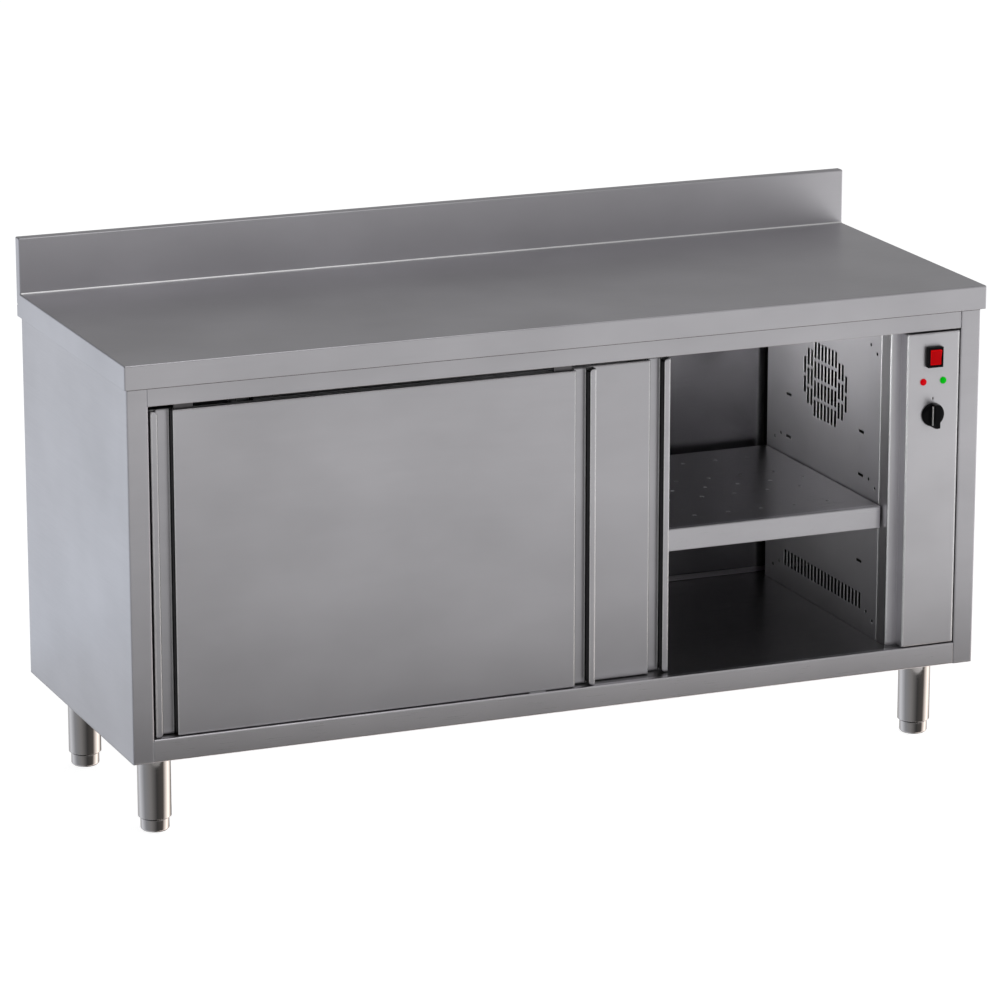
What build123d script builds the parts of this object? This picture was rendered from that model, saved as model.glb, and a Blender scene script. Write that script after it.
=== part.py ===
from build123d import *

import math
import os

# Plate warmer cabinet: a heated stainless cupboard with two sliding doors under a worktop.
# Millimetres. +X to the right, +Y to the back, +Z up, origin on the floor under the worktop's middle.

# ---------------------------------------------------------------- driving dimensions
# Worktop
width = 1600.0                # worktop, side to side
depth = 600.0                 # worktop, front to back
worktop_height = 850.0        # floor to working surface
apron_height = 42.0           # folded edge of the worktop
splash_height = 100.0         # upstand above the working surface
splash_thickness = 20.0
worktop_sheet = 1.5
return_width = 25.0           # edge folded back under the apron, and under the bottom rail
notch = 3.0
front_overhang = 10.0         # worktop beyond the body
side_overhang = 6.0
rear_overhang = 6.0
rib_crest = 40.0              # hat-section stiffeners, under the worktop, floor and shelf
rib_foot = 15.0
rib_height = 20.0
rib_end_gap = 40.0
worktop_rib_setbacks = (150.0, 300.0, 450.0)

# Body
sheet = 1.2                   # body sheet
bend = 2.6                    # outside radius of a folded edge
leg_clearance = 155.0         # floor to the underside of the body
wall = 38.0                   # insulated side wall
jamb_depth = 62.0             # face of the body to the front edge of the inner walls
base_height = 40.0            # bottom rail, and so the sill above the underside
rear_wall = 32.0              # inner back wall to the outside of the back
rear_flange = 20.0            # side panel folded in behind the back panel
rail_drop = 33.0              # top rail below the worktop
upturn = 11.0                 # floor folded up at the back
wall_fold = 14.0              # edges of the inner walls folded into the wall
rear_gap = 21.0               # air gap between the inner walls and the back wall
ceiling_drop = 23.0           # ceiling below the worktop
edge_gap = 0.6                # between two sheets that meet edge to edge
seam = 1.0                    # open seam between the right stile and the rails
weld_gap = 0.05               # weld filler to the rounded fold that it meets
back_wall_overrun = 28.0      # back wall beyond the right inner wall
wool_gap = 1.0                # insulation clear of what is in front of it
floor_rib_setbacks = (130.0, 290.0, 450.0)
louvre_width = 56.0
louvre_height = 10.0
louvre_reach = 6.0
louvre_pitch = 24.0
louvre_bottom = 300.0
louvre_count = 8

# Control compartment on the right
control_width = 124.0         # between the heated space and the right stile's jamb
panel_width = 102.0
panel_side_gap = 2.0
panel_top_gap = 4.0
panel_bottom_gap = 3.0
post_step = 26.0              # face of the body to the step of the door post
post_flange = 48.0            # part of the post hidden behind the control panel
baffle_setback = 110.0        # body face to the sheet that shields the controls from the heat
baffle_flange = 16.0

# Sliding doors
door_width = 807.0
door_thickness = 18.0
door_setback = 6.0            # body face to the front door's face
door_pitch = 22.0             # front door to rear door
door_sill_gap = 2.0
door_top_gap = 11.5
door_jamb_gap = 5.7           # front door to the left jamb, closed
door_stop_gap = 5.5           # front door to the control panel, fully open
rear_door_stop_gap = 5.0      # rear door to the door post, fully open
rear_door_rest = 149.6        # rear door's place, from its left end stop
grip_lip = 12.5               # outer strip of the finger channel
grip_width = 25.5             # opening of the finger channel
grip_corner = 7.0             # rounded corners of the strip
door_bend = 1.8               # outside radius of the doors' folds
guide_slot = 6.0              # slot in the doors' top and bottom edges

# Door running gear
track_height = 29.3
track_wall = 2.0
track_lip = 5.0
hanger_width = 34.0
hanger_thickness = 3.0
hanger_inset = 60.0           # door end to the middle of a hanger
hanger_foot = 13.2            # foot of the hanger, across the door
hanger_rise = 6.5             # axle to the top of the stem
hanger_corner = 5.0
wheel_radius = 10.0
wheel_width = 6.0
axle_radius = 2.5
running_fit = 0.05            # radial play of shafts and pins
running_gap = 0.3             # open gap between curved faces that pass each other
stop_length = 10.0
guide_width = 31.0
guide_fin = 2.4
guide_fin_height = 8.0
guide_fin_inset = 2.0         # end of the guide to the ends of its fins

# Shelf
shelf_top = 450.0
shelf_height = 40.0
shelf_end_gap = 3.0
shelf_front_setback = 48.0    # body face to the shelf's front edge
shelf_rear_gap = 30.0         # shelf to the back wall
shelf_hole = 7.5
shelf_hole_pitch = 65.0
shelf_row_pitch = 112.0
shelf_hole_margin = 70.0      # least distance from a shelf end to the first column
shelf_rows = 4
hole_sides = 8                # the punched holes are drawn as octagons
shelf_lip = 10.0

# Perforations of the right inner wall
fan_setback = 287.0           # body face to the fan's axis
fan_height = 619.0
punched_slot = 30.5           # one punch makes the slots of the grille and of the vents
punched_slot_width = 9.0
slot_pitch = 14.1
grille_row_pitch = 36.5
grille_counts = (2, 3, 3, 4, 4, 4, 4, 4, 4, 4, 3, 3, 2)
vent_count = 23
vent_height = 252.0
bracket_slot = 21.0
bracket_slot_height = 5.0
bracket_spacing = 300.0       # front support slots to rear support slots
pattern_shift = 9.5           # wall patterns sit this far in front of the wall's middle
bracket_levels = 4
bracket_level_pitch = 80.0
bracket_top_level = 565.5
fixing_hole = 6.5
fixing_reach = 182.0          # fan axis to the inner hole of each pair
fixing_step_out = 25.0        # outer hole, further out and lower
fixing_step_down = 12.0
fixing_top_level = 732.6
fixing_pitch = 247.0
fixing_count = 3
slot_corner = 0.2             # cropped corner, as a part of a slot's width
tongue_thickness = 2.6
tongue_play = 0.3
support_length = 18.0         # under the shelf, from its end inwards
support_hook = 9.0            # tongue hooked down behind the wall
support_heel = 12.0           # tongue folded down in front of it

# Legs and feet
leg_diameter = 58.0
leg_wall = 1.5
leg_inset_left = 77.0         # worktop's left side to the left legs' axis
leg_inset_right = 66.5        # worktop's right side to the right legs' axis
leg_rail_width = 66.0         # channels that the legs bolt to, from the jambs inwards
leg_cap = 3.0                 # plate that closes the tube's top
leg_front_setback = 106.5     # body face to the front legs' axis
leg_rear_setback = 88.2       # body rear to the rear legs' axis
leg_gap = 30.0                # floor to the end of the tube
foot_diameter = 50.0
foot_height = 25.0
foot_bevel = 3.5
foot_stem = 16.0
foot_stem_length = 70.0
insert_height = 30.0
insert_play = 0.1
stud_diameter = 10.0
stud_length = 16.0
stud_play = 0.5
rail_sheet = 2.0

# Controls, from the middle line of the control panel
switch_height = 728.0
bezel_width = 29.0
bezel_height = 36.5
bezel_depth = 10.0
rocker_width = 21.7
rocker_height = 28.0
rocker_play = 0.3
rocker_tilt = 12.0            # degrees, from one side pressed to the other
rocker_pin = 3.0
rocker_pivot_depth = 4.0      # front of the bezel to the pivot
rocker_face = 3.0             # pivot to the middle of the rocker's face
rocker_back = 4.0             # pivot to the rocker's flat back
pin_seat = 1.1                # pin's end in the housing
bezel_lap = 2.0               # bezel beyond the edge of its cut-out
bezel_chamfer = 0.8
cut_play = 0.2                # controls in their cut-outs
switch_body_depth = 24.0
terminal_spacing = 16.0
terminal_size = (6.2, 9.0, 0.8)
lamp_height = 683.0
lamp_spacing = 39.2
lamp_diameter = 12.0
lamp_shank = 9.0
lamp_depth = 26.0
lamp_dome = 4.0
lamp_crown = ((0.0, 1.0), (0.55, 0.85), (1.0, 0.3))   # lens: shares of its radius and rise
lamp_nut = 4.0
nut_rim = 1.0                 # nut's corners beyond the lens
tick_height = 651.7
tick_size = (5.0, 2.6, 0.5)
knob_height = 622.5
knob_diameter = 43.0
knob_skirt = 5.0
knob_proud = 21.0
knob_bar = 10.0
knob_taper = 8.0              # degrees
knob_chamfer = 0.8
knob_gap = 0.6
strip_length = 35.0           # bright strips let into both sides of the knob's grip
strip_width = 6.0
strip_rise = 8.0              # back of the knob to the strip
strip_depth = 0.8
thermostat_box = (46.0, 34.0, 42.0)
thermostat_corner = 5.0
spindle_opening = 12.0
spindle_diameter = 6.0
spindle_length = 15.0

# Fan and heater
impeller_diameter = 150.0
impeller_depth = 42.0
impeller_gap = 8.0            # back of the impeller to the fan plate
hub_diameter = 24.0
hub_length = 22.0
blade_count = 12
blade_thickness = 1.2
blade_inner_radius = 44.0
blade_sweep = 27.0            # how far a blade leans back at its tip
blade_tip_gap = 6.0
ring_overlap = 2.0            # front ring's opening beyond the blades' inner edges
shaft_diameter = 8.0
fan_plate_offset = 66.0       # back of the inner wall to the fan plate
fan_plate_size = 236.0
spacer_inset = 14.0
spacer_diameter = 10.0
shaft_opening = 30.0
motor_diameter = 84.0
motor_length = 40.0
motor_flange = 3.0
motor_bevel = 6.0
motor_end_gap = 10.0          # shaft bore to the motor's far end
shaft_end_gap = 2.0
element_radius = 98.0
element_tube = 8.0
element_offset = 24.0         # fan plate to the ring
element_lead_angle = 12.0     # degrees from the bottom of the ring to each lead
element_opening = 9.0         # degrees from the bottom of the ring to its ends
element_sides = 8             # the tube is drawn with flat sides
lead_length = 20.0            # leads behind the fan plate
clip_width = 12.0
clip_angles = (30.0, 150.0)
screw_head = 9.0
screw_head_height = 2.4
screw_rows = 5
screw_margin = 40.0           # panel's top and bottom to the first screws
gland_height = 232.0
gland_bore = 13.0
gland_neck = 17.0
gland_hex = 26.0
gland_collar_length = 6.0
gland_dome_diameter = 21.0
gland_dome_length = 9.0
gland_taper = 10.0            # degrees
block_size = (44.0, 20.0, 18.0)
block_rise = 40.0             # terminal block above the gland
block_chamfer = 3.0
block_ways = 3
block_pitch = 12.0
block_bore = 5.0
block_bore_depth = 8.0

# ---------------------------------------------------------------- places worked out from them
worktop_front = -depth / 2
worktop_rear = depth / 2
face_y = worktop_front + front_overhang
body_rear = worktop_rear - rear_overhang
body_side = width / 2 - side_overhang
jamb_x = body_side - wall
jamb_y = face_y + jamb_depth
apron_bottom = worktop_height - apron_height
body_bottom = leg_clearance
sill = body_bottom + base_height
rail_bottom = apron_bottom - rail_drop
ceiling = apron_bottom - ceiling_drop
back_wall_y = body_rear - rear_wall
inner_rear = back_wall_y - rear_gap
control_x = jamb_x - control_width
panel_right = jamb_x - panel_side_gap
panel_left = panel_right - panel_width
panel_x = (panel_left + panel_right) / 2
panel_bottom = sill + panel_bottom_gap
panel_top = rail_bottom - panel_top_gap
step_y = face_y + post_step
baffle_y = face_y + baffle_setback
fan_y = face_y + fan_setback
door_bottom = sill + door_sill_gap
door_top = rail_bottom - door_top_gap
door_height = door_top - door_bottom
front_door_y = face_y + door_setback
rear_door_y = front_door_y + door_pitch
front_door_left = -jamb_x + door_jamb_gap
front_door_travel = panel_left - door_stop_gap - door_width - front_door_left
rear_door_left = front_door_left + rear_door_rest
rear_door_travel = control_x - rear_door_stop_gap - door_width - rear_door_left
track_top = apron_bottom - sheet
track_bottom = track_top - track_height
lip_top = track_bottom + track_wall
axle_z = lip_top + running_gap + wheel_radius
hanger_offsets = (hanger_inset, door_width - hanger_inset)
leg_left_x = -width / 2 + leg_inset_left
leg_right_x = width / 2 - leg_inset_right
leg_front_y = face_y + leg_front_setback
leg_rear_y = body_rear - leg_rear_setback
leg_places = {
    "front_left": (leg_left_x, leg_front_y),
    "front_right": (leg_right_x, leg_front_y),
    "rear_left": (leg_left_x, leg_rear_y),
    "rear_right": (leg_right_x, leg_rear_y),
}
inner_middle_y = (jamb_y + inner_rear) / 2
fan_plate_x = control_x + sheet + fan_plate_offset

os.makedirs("parts", exist_ok=True)


def save(builder, label):
    """Name a finished piece and write it."""
    builder.part.label = label
    export_step(builder.part, f"parts/{label}.step")


def slab(x_limits, y_limits, z_limits, mode=Mode.ADD):
    """A plain block between two limits along each axis."""
    limits = (x_limits, y_limits, z_limits)
    middle = [(low + high) / 2 for low, high in limits]
    size = [high - low for low, high in limits]
    with Locations(tuple(middle)):
        return Box(*size, mode=mode)


def folded_sheet(plane, points, side, length, thickness=sheet, radius=bend):
    """Sheet bent along a line of points and pulled straight along the plane's normal."""
    with BuildSketch(plane) as section:
        with BuildLine():
            FilletPolyline(*points, radius=radius)
            offset(amount=thickness, side=side)
        make_face()
    extrude(section.sketch, amount=length)


def slots(plane, places, long_side, short_side, upright, reach):
    """Punch a set of slots with cropped corners through a sheet."""
    size = (short_side, long_side) if upright else (long_side, short_side)
    with BuildSketch(plane) as pattern:
        with Locations(*places):
            Rectangle(*size)
        chamfer(pattern.vertices(), length=slot_corner * short_side)
    extrude(pattern.sketch, amount=reach, both=True, mode=Mode.SUBTRACT)


# ---------------------------------------------------------------- worktop
splash_y = worktop_rear - splash_thickness
splash_top = worktop_height + splash_height
with BuildPart() as worktop:
    with BuildSketch(Plane.YZ.offset(-width / 2)) as worktop_section:
        with BuildLine():
            Polyline(
                (worktop_front, apron_bottom),
                (worktop_front, worktop_height),
                (splash_y, worktop_height),
                (splash_y, splash_top),
                (worktop_rear, splash_top),
                (worktop_rear, apron_bottom),
                close=True,
            )
        make_face()
    extrude(amount=width)
    long_edges = worktop.edges().filter_by(Axis.X).filter_by_position(Axis.Z, worktop_height, splash_top)
    fillet(long_edges, radius=bend)
    fillet(worktop.edges().filter_by(Axis.Z).filter_by_position(Axis.Z, 0, worktop_height), radius=bend)
    # Hollow below, open at the bottom inside the folded return.
    with BuildSketch(Plane.YZ.offset(-width / 2 + worktop_sheet)) as worktop_hollow:
        with BuildLine():
            Polyline(
                (worktop_front + worktop_sheet, apron_bottom + worktop_sheet),
                (worktop_front + worktop_sheet, worktop_height - worktop_sheet),
                (splash_y + worktop_sheet, worktop_height - worktop_sheet),
                (splash_y + worktop_sheet, splash_top - worktop_sheet),
                (worktop_rear - worktop_sheet, splash_top - worktop_sheet),
                (worktop_rear - worktop_sheet, apron_bottom + worktop_sheet),
                close=True,
            )
        make_face()
    extrude(amount=width - 2 * worktop_sheet, mode=Mode.SUBTRACT)
    slab(
        (-width / 2 + return_width, width / 2 - return_width),
        (worktop_front + return_width, worktop_rear - return_width),
        (apron_bottom, apron_bottom + worktop_sheet),
        mode=Mode.SUBTRACT,
    )
    # Relief notch at each rear corner, where two folds meet.
    for x in (-width / 2, width / 2 - worktop_sheet):
        slab(
            (x, x + worktop_sheet),
            (worktop_rear - 2 * notch, worktop_rear),
            (worktop_height - apron_height / 2 - notch / 2, worktop_height - apron_height / 2 + notch / 2),
            mode=Mode.SUBTRACT,
        )
save(worktop, "worktop")

# Hat-section stiffeners under the working surface.

def hat_points(middle, top, height):
    """Open hat section hanging from a sheet: foot, side, crest, side, foot."""
    half = rib_crest / 2
    return (
        (middle - half - rib_foot, top),
        (middle - half, top),
        (middle - half, top - height),
        (middle + half, top - height),
        (middle + half, top),
        (middle + half + rib_foot, top),
    )


with BuildPart() as worktop_ribs:
    for setback in worktop_rib_setbacks:
        folded_sheet(
            Plane.YZ.offset(-width / 2 + rib_end_gap),
            hat_points(worktop_front + setback, worktop_height - worktop_sheet, rib_height),
            Side.RIGHT,
            width - 2 * rib_end_gap,
            thickness=worktop_sheet,
        )
save(worktop_ribs, "worktop_ribs")

# ---------------------------------------------------------------- side panels
with BuildPart() as side_panel_left:
    folded_sheet(
        Plane.XY.offset(body_bottom),
        (
            (-jamb_x, jamb_y - edge_gap),
            (-jamb_x, face_y),
            (-body_side, face_y),
            (-body_side, body_rear),
            (-body_side + rear_flange, body_rear),
        ),
        Side.RIGHT,
        apron_bottom - body_bottom,
    )
    for z in (body_bottom, apron_bottom - sheet):
        slab((-body_side + sheet, -jamb_x - sheet), (face_y + sheet, body_rear - sheet), (z, z + sheet))
save(side_panel_left, "side_panel_left")

with BuildPart() as side_panel_right:
    add(side_panel_left.part)
    mirror(about=Plane.YZ, mode=Mode.REPLACE)
save(side_panel_right, "side_panel_right")

# ---------------------------------------------------------------- back panel with louvres and cable entry
louvre_x = (control_x + jamb_x) / 2
gland_x = louvre_x
back_panel_y = body_rear - 2 * sheet
with BuildPart() as back_panel:
    slab(
        (-body_side + bend, body_side - bend),
        (back_panel_y, back_panel_y + sheet),
        (body_bottom + sheet, apron_bottom - sheet),
    )
    louvre_levels = [louvre_bottom + row * louvre_pitch for row in range(louvre_count)]
    for z in louvre_levels:
        # Each louvre is a wedge-shaped hood pressed inwards over its slot.
        with BuildSketch(Plane.YZ.offset(louvre_x - louvre_width / 2)) as hood:
            with BuildLine():
                Polyline(
                    (back_panel_y, z + louvre_height + sheet),
                    (back_panel_y, z + louvre_height),
                    (back_panel_y - louvre_reach, z),
                    (back_panel_y - louvre_reach - sheet, z),
                    close=True,
                )
            make_face()
        extrude(hood.sketch, amount=louvre_width)
    for z in louvre_levels:
        slab(
            (louvre_x - louvre_width / 2, louvre_x + louvre_width / 2),
            (back_panel_y - sheet / 2, back_panel_y + sheet),
            (z, z + louvre_height - sheet),
            mode=Mode.SUBTRACT,
        )
    with Locations(Plane((gland_x, back_panel_y + sheet, gland_height), z_dir=(0, 1, 0))):
        Hole(radius=gland_neck / 2 + insert_play, depth=3 * sheet)
save(back_panel, "back_panel")

# ---------------------------------------------------------------- floor with the bottom rail
def corner_weld(bottom, top):
    """Weld ground flush in the groove between the left stile's fold and the end of a rail."""
    with BuildSketch(Plane.XY.offset(bottom)) as weld:
        with Locations((-jamb_x - bend / 2, face_y + bend / 2)):
            Rectangle(bend, bend)
        with Locations((-jamb_x - bend, face_y + bend)):
            Circle(bend + weld_gap, mode=Mode.SUBTRACT)
    extrude(weld.sketch, amount=top - bottom)


with BuildPart() as floor_pan:
    folded_sheet(
        Plane.YZ.offset(-jamb_x),
        (
            (face_y + return_width, body_bottom),
            (face_y, body_bottom),
            (face_y, sill),
            (back_wall_y, sill),
            (back_wall_y, sill + upturn),
        ),
        Side.RIGHT,
        2 * jamb_x - seam,
    )
    corner_weld(body_bottom + bend, sill - bend)
save(floor_pan, "floor_pan")

rail_y = (face_y + return_width + edge_gap, body_rear - 2 * sheet)


def leg_rail_shape(leg_x, rail_left):
    """Upturned channel that carries one front leg and one rear leg."""
    rail_right = rail_left + leg_rail_width
    with BuildPart() as rail:
        slab((rail_left, rail_right), rail_y, (body_bottom, body_bottom + rail_sheet))
        for x in (rail_left, rail_right - rail_sheet):
            slab((x, x + rail_sheet), (rail_y[0], back_wall_y), (body_bottom + rail_sheet, sill - sheet))
        with Locations((leg_x, leg_front_y, body_bottom), (leg_x, leg_rear_y, body_bottom)):
            Hole(radius=stud_diameter / 2 + stud_play, depth=rail_sheet * 2)
    return rail


save(leg_rail_shape(leg_left_x, -jamb_x), "leg_rail_left")
save(leg_rail_shape(leg_right_x, jamb_x - leg_rail_width), "leg_rail_right")

base_x = jamb_x - leg_rail_width - edge_gap
with BuildPart() as base_panel:
    slab((-base_x, base_x), rail_y, (body_bottom, body_bottom + sheet))
save(base_panel, "base_panel")

with BuildPart() as floor_ribs:
    for setback in floor_rib_setbacks:
        folded_sheet(
            Plane.YZ.offset(-base_x),
            hat_points(face_y + setback, sill - sheet, base_height - 3 * sheet),
            Side.RIGHT,
            2 * base_x,
        )
save(floor_ribs, "floor_ribs")

# ---------------------------------------------------------------- inner walls
bracket_y = [inner_middle_y - pattern_shift + side * bracket_spacing / 2 for side in (-1, 1)]
bracket_z = [bracket_top_level - level * bracket_level_pitch for level in range(bracket_levels)]
bracket_slots = [(y, z) for y in bracket_y for z in bracket_z]

with BuildPart() as inner_wall_left:
    wall_low = sill - wall_fold
    folded_sheet(
        Plane.XY.offset(wall_low),
        (
            (-jamb_x - wall_fold, jamb_y),
            (-jamb_x, jamb_y),
            (-jamb_x, inner_rear),
            (-jamb_x - wall_fold, inner_rear),
        ),
        Side.LEFT,
        ceiling + wall_fold - wall_low,
    )
    slots(Plane.YZ.offset(-jamb_x), bracket_slots, bracket_slot, bracket_slot_height, False, 2 * sheet)
save(inner_wall_left, "inner_wall_left")

# The fan grille: columns of upright slots, all centred on the fan, so that they fill a circle.
grille_slots = []
for column, count in enumerate(grille_counts):
    y = fan_y + (column - (len(grille_counts) - 1) / 2) * slot_pitch
    for row in range(count):
        grille_slots.append((y, fan_height + (row - (count - 1) / 2) * grille_row_pitch))
vent_slots = [
    (inner_middle_y - pattern_shift + (index - (vent_count - 1) / 2) * slot_pitch, vent_height)
    for index in range(vent_count)
]
# Fixing holes come in pairs, at both edges of the shielded compartment behind the wall.
fixing_pair = ((fixing_reach, 0.0), (fixing_reach + fixing_step_out, -fixing_step_down))
fixing_levels = [fixing_top_level - level * fixing_pitch for level in range(fixing_count)]
fixing_holes = [
    (fan_y + side * out, z + down)
    for z in fixing_levels
    for out, down in fixing_pair
    for side in (-1, 1)
]

with BuildPart() as inner_wall_right:
    folded_sheet(
        Plane.XY.offset(sill),
        (
            (control_x + wall_fold, jamb_y),
            (control_x, jamb_y),
            (control_x, inner_rear),
            (control_x + wall_fold, inner_rear),
        ),
        Side.RIGHT,
        ceiling - sill,
    )
    wall_plane = Plane.YZ.offset(control_x)
    slots(wall_plane, grille_slots + vent_slots, punched_slot, punched_slot_width, True, 2 * sheet)
    slots(wall_plane, bracket_slots, bracket_slot, bracket_slot_height, False, 2 * sheet)
    with BuildSketch(wall_plane) as fixing_pattern:
        with Locations(*fixing_holes):
            RegularPolygon(fixing_hole / 2, hole_sides)
    extrude(fixing_pattern.sketch, amount=2 * sheet, both=True, mode=Mode.SUBTRACT)
save(inner_wall_right, "inner_wall_right")

with BuildPart() as door_post:
    folded_sheet(
        Plane.XY.offset(sill),
        (
            (control_x + post_flange, step_y),
            (control_x, step_y),
            (control_x, jamb_y - edge_gap),
        ),
        Side.RIGHT,
        apron_bottom - sheet - sill,
    )
save(door_post, "door_post")

back_wall_right = control_x + back_wall_overrun
with BuildPart() as back_wall:
    folded_sheet(
        Plane.XY.offset(sill + upturn + edge_gap),
        (
            (-jamb_x, back_wall_y + wall_fold),
            (-jamb_x, back_wall_y),
            (back_wall_right, back_wall_y),
            (back_wall_right, back_panel_y),
        ),
        Side.LEFT,
        apron_bottom - worktop_sheet - sill - upturn - edge_gap,
    )
save(back_wall, "back_wall")

with BuildPart() as ceiling_panel:
    folded_sheet(
        Plane.YZ.offset(-jamb_x),
        (
            (jamb_y, apron_bottom - sheet),
            (jamb_y, ceiling),
            (back_wall_y, ceiling),
            (back_wall_y, ceiling + wall_fold),
        ),
        Side.LEFT,
        2 * jamb_x - seam,
    )
save(ceiling_panel, "ceiling_panel")

with BuildPart() as top_rail:
    folded_sheet(
        Plane.YZ.offset(-jamb_x),
        (
            (face_y, rail_bottom),
            (face_y, apron_bottom),
            (jamb_y + 2 * sheet, apron_bottom),
        ),
        Side.RIGHT,
        2 * jamb_x - seam,
    )
    corner_weld(rail_bottom, apron_bottom - bend)
save(top_rail, "top_rail")

# Insulation slabs in the side walls and behind the back wall.
wool_side = wall - sheet - wall_fold
with BuildPart() as insulation:
    for side in (-1, 1):
        limits = sorted((side * (body_side - sheet), side * (body_side - sheet - wool_side + wool_gap)))
        slab(limits, (jamb_y, back_panel_y - wool_gap), (body_bottom + sheet, apron_bottom - sheet))
    slab(
        (-jamb_x + 2 * sheet, back_wall_right - 2 * sheet),
        (back_wall_y + wall_fold + wool_gap, back_panel_y),
        (sill + upturn + edge_gap, apron_bottom - worktop_sheet),
    )
save(insulation, "insulation")

# ---------------------------------------------------------------- door track and bottom guide
front_door_mid = front_door_y + door_thickness / 2
door_middles = (front_door_mid, front_door_mid + door_pitch)
guide_position = (panel_left - jamb_x) / 2
with BuildPart() as door_track:
    with BuildSketch(Plane.YZ.offset(-jamb_x)) as track_section:
        track_middle = (door_middles[0] + door_middles[1]) / 2
        with Locations((track_middle, (track_bottom + track_top) / 2)):
            Rectangle(2 * door_pitch + track_wall, track_height)
        channel = door_pitch - track_wall
        for y in door_middles:
            with Locations((y, (lip_top + track_top - track_wall) / 2)):
                Rectangle(channel, track_top - track_wall - lip_top, mode=Mode.SUBTRACT)
            with Locations((y, track_bottom + track_wall / 2)):
                Rectangle(channel - 2 * track_lip, track_wall, mode=Mode.SUBTRACT)
    extrude(amount=jamb_x + control_x)
save(door_track, "door_track")

# Rubber stops in the channels, where the outer hangers end their run.
stop_ends = []
for y, left, low, high in (
    (door_middles[0], front_door_left, 0.0, front_door_travel),
    (door_middles[1], rear_door_left, -rear_door_rest, rear_door_travel),
):
    reach = hanger_width / 2 + running_gap
    stop_ends.append((left + low + hanger_offsets[0] - reach - stop_length, y))
    stop_ends.append((left + high + hanger_offsets[1] + reach, y))
with BuildPart() as door_stops:
    for x, y in stop_ends:
        slab((x, x + stop_length), (y - channel / 2, y + channel / 2), (lip_top, track_top - track_wall))
save(door_stops, "door_stops")

with BuildPart() as bottom_guide:
    guide_front = front_door_y
    guide_rear = rear_door_y + door_thickness
    guide_fin_reach = guide_width / 2 - guide_fin_inset
    slab(
        (guide_position - guide_width / 2, guide_position + guide_width / 2),
        (guide_front, guide_rear),
        (sill, sill + sheet),
    )
    for y in door_middles:
        slab(
            (guide_position - guide_fin_reach, guide_position + guide_fin_reach),
            (y - guide_fin / 2, y + guide_fin / 2),
            (sill + sheet, sill + sheet + guide_fin_height),
        )
    fillet(bottom_guide.edges().filter_by(Axis.Y).group_by(Axis.Z)[-1], radius=guide_fin_inset)
save(bottom_guide, "bottom_guide")

# ---------------------------------------------------------------- sliding doors
grip_depth = door_thickness - 2 * sheet
grip_far = grip_lip + grip_width


def door_skin_shape(left, face):
    """Front of a door: one folded sheet with a finger channel near each upright edge."""
    right = left + door_width
    rear = face + door_thickness
    floor = face + grip_depth
    with BuildPart() as skin:
        folded_sheet(
            Plane.XY.offset(door_bottom),
            (
                (left, rear),
                (left, face),
                (left + grip_lip, face),
                (left + grip_lip, floor),
                (left + grip_far, floor),
                (left + grip_far, face),
                (right - grip_far, face),
                (right - grip_far, floor),
                (right - grip_lip, floor),
                (right - grip_lip, face),
                (right, face),
                (right, rear),
            ),
            Side.LEFT,
            door_height,
            radius=door_bend,
        )
        # The outer strips have round corners at both ends.
        with BuildSketch(Plane.XZ.offset(-face + bend)) as corners:
            for x, turn in ((left + grip_lip, 1), (right - grip_lip, -1)):
                for z, up in ((door_bottom, 1), (door_top, -1)):
                    with Locations((x - turn * grip_corner / 2, z + up * grip_corner / 2)):
                        Rectangle(grip_corner, grip_corner)
                    with Locations((x - turn * grip_corner, z + up * grip_corner)):
                        Circle(grip_corner, mode=Mode.SUBTRACT)
        extrude(corners.sketch, amount=-(grip_depth + bend - sheet), mode=Mode.SUBTRACT)
        # Flanges that close the main panel at the top and the bottom, up to the guide slot.
        slot_front = face + (door_thickness - guide_slot) / 2
        for z in (door_bottom, door_top - sheet):
            lip_ends = (left + grip_far + sheet, right - grip_far - sheet)
            slab(lip_ends, (face + sheet, slot_front), (z, z + sheet))
    return skin


def door_liner_shape(left, face):
    """Back of a door: a flat sheet between the skin's edges, folded forward at top and bottom."""
    right = left + door_width
    rear = face + door_thickness
    slot_rear = face + (door_thickness + guide_slot) / 2
    with BuildPart() as liner:
        folded_sheet(
            Plane.YZ.offset(left + grip_far + 2 * sheet),
            (
                (slot_rear, door_bottom),
                (rear, door_bottom),
                (rear, door_top),
                (slot_rear, door_top),
            ),
            Side.LEFT,
            door_width - 2 * grip_far - 4 * sheet,
            radius=door_bend,
        )
        for x_limits in (
            (left + sheet, left + grip_far + 3 * sheet),
            (right - grip_far - 3 * sheet, right - sheet),
        ):
            slab(x_limits, (rear - sheet, rear), (door_bottom, door_top))
    return liner


def door_hangers_shape(left, middle):
    """Two T-shaped hangers: a foot under the door's top flanges and a stem up into the track."""
    with BuildPart() as hangers:
        flange_under = door_top - sheet
        for offset_x in hanger_offsets:
            x = left + offset_x
            x_limits = (x - hanger_width / 2, x + hanger_width / 2)
            slab(
                x_limits,
                (middle - hanger_foot / 2, middle + hanger_foot / 2),
                (flange_under - hanger_thickness, flange_under),
            )
            slab(
                x_limits,
                (middle - hanger_thickness / 2, middle + hanger_thickness / 2),
                (flange_under, axle_z + hanger_rise),
            )
        fillet(hangers.edges().filter_by(Axis.Y).group_by(Axis.Z)[-1], radius=hanger_corner)
        with Locations(*[Plane((left + x, middle, axle_z), z_dir=(0, -1, 0)) for x in hanger_offsets]):
            Hole(radius=axle_radius + running_fit, depth=2 * hanger_thickness)
    return hangers


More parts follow.
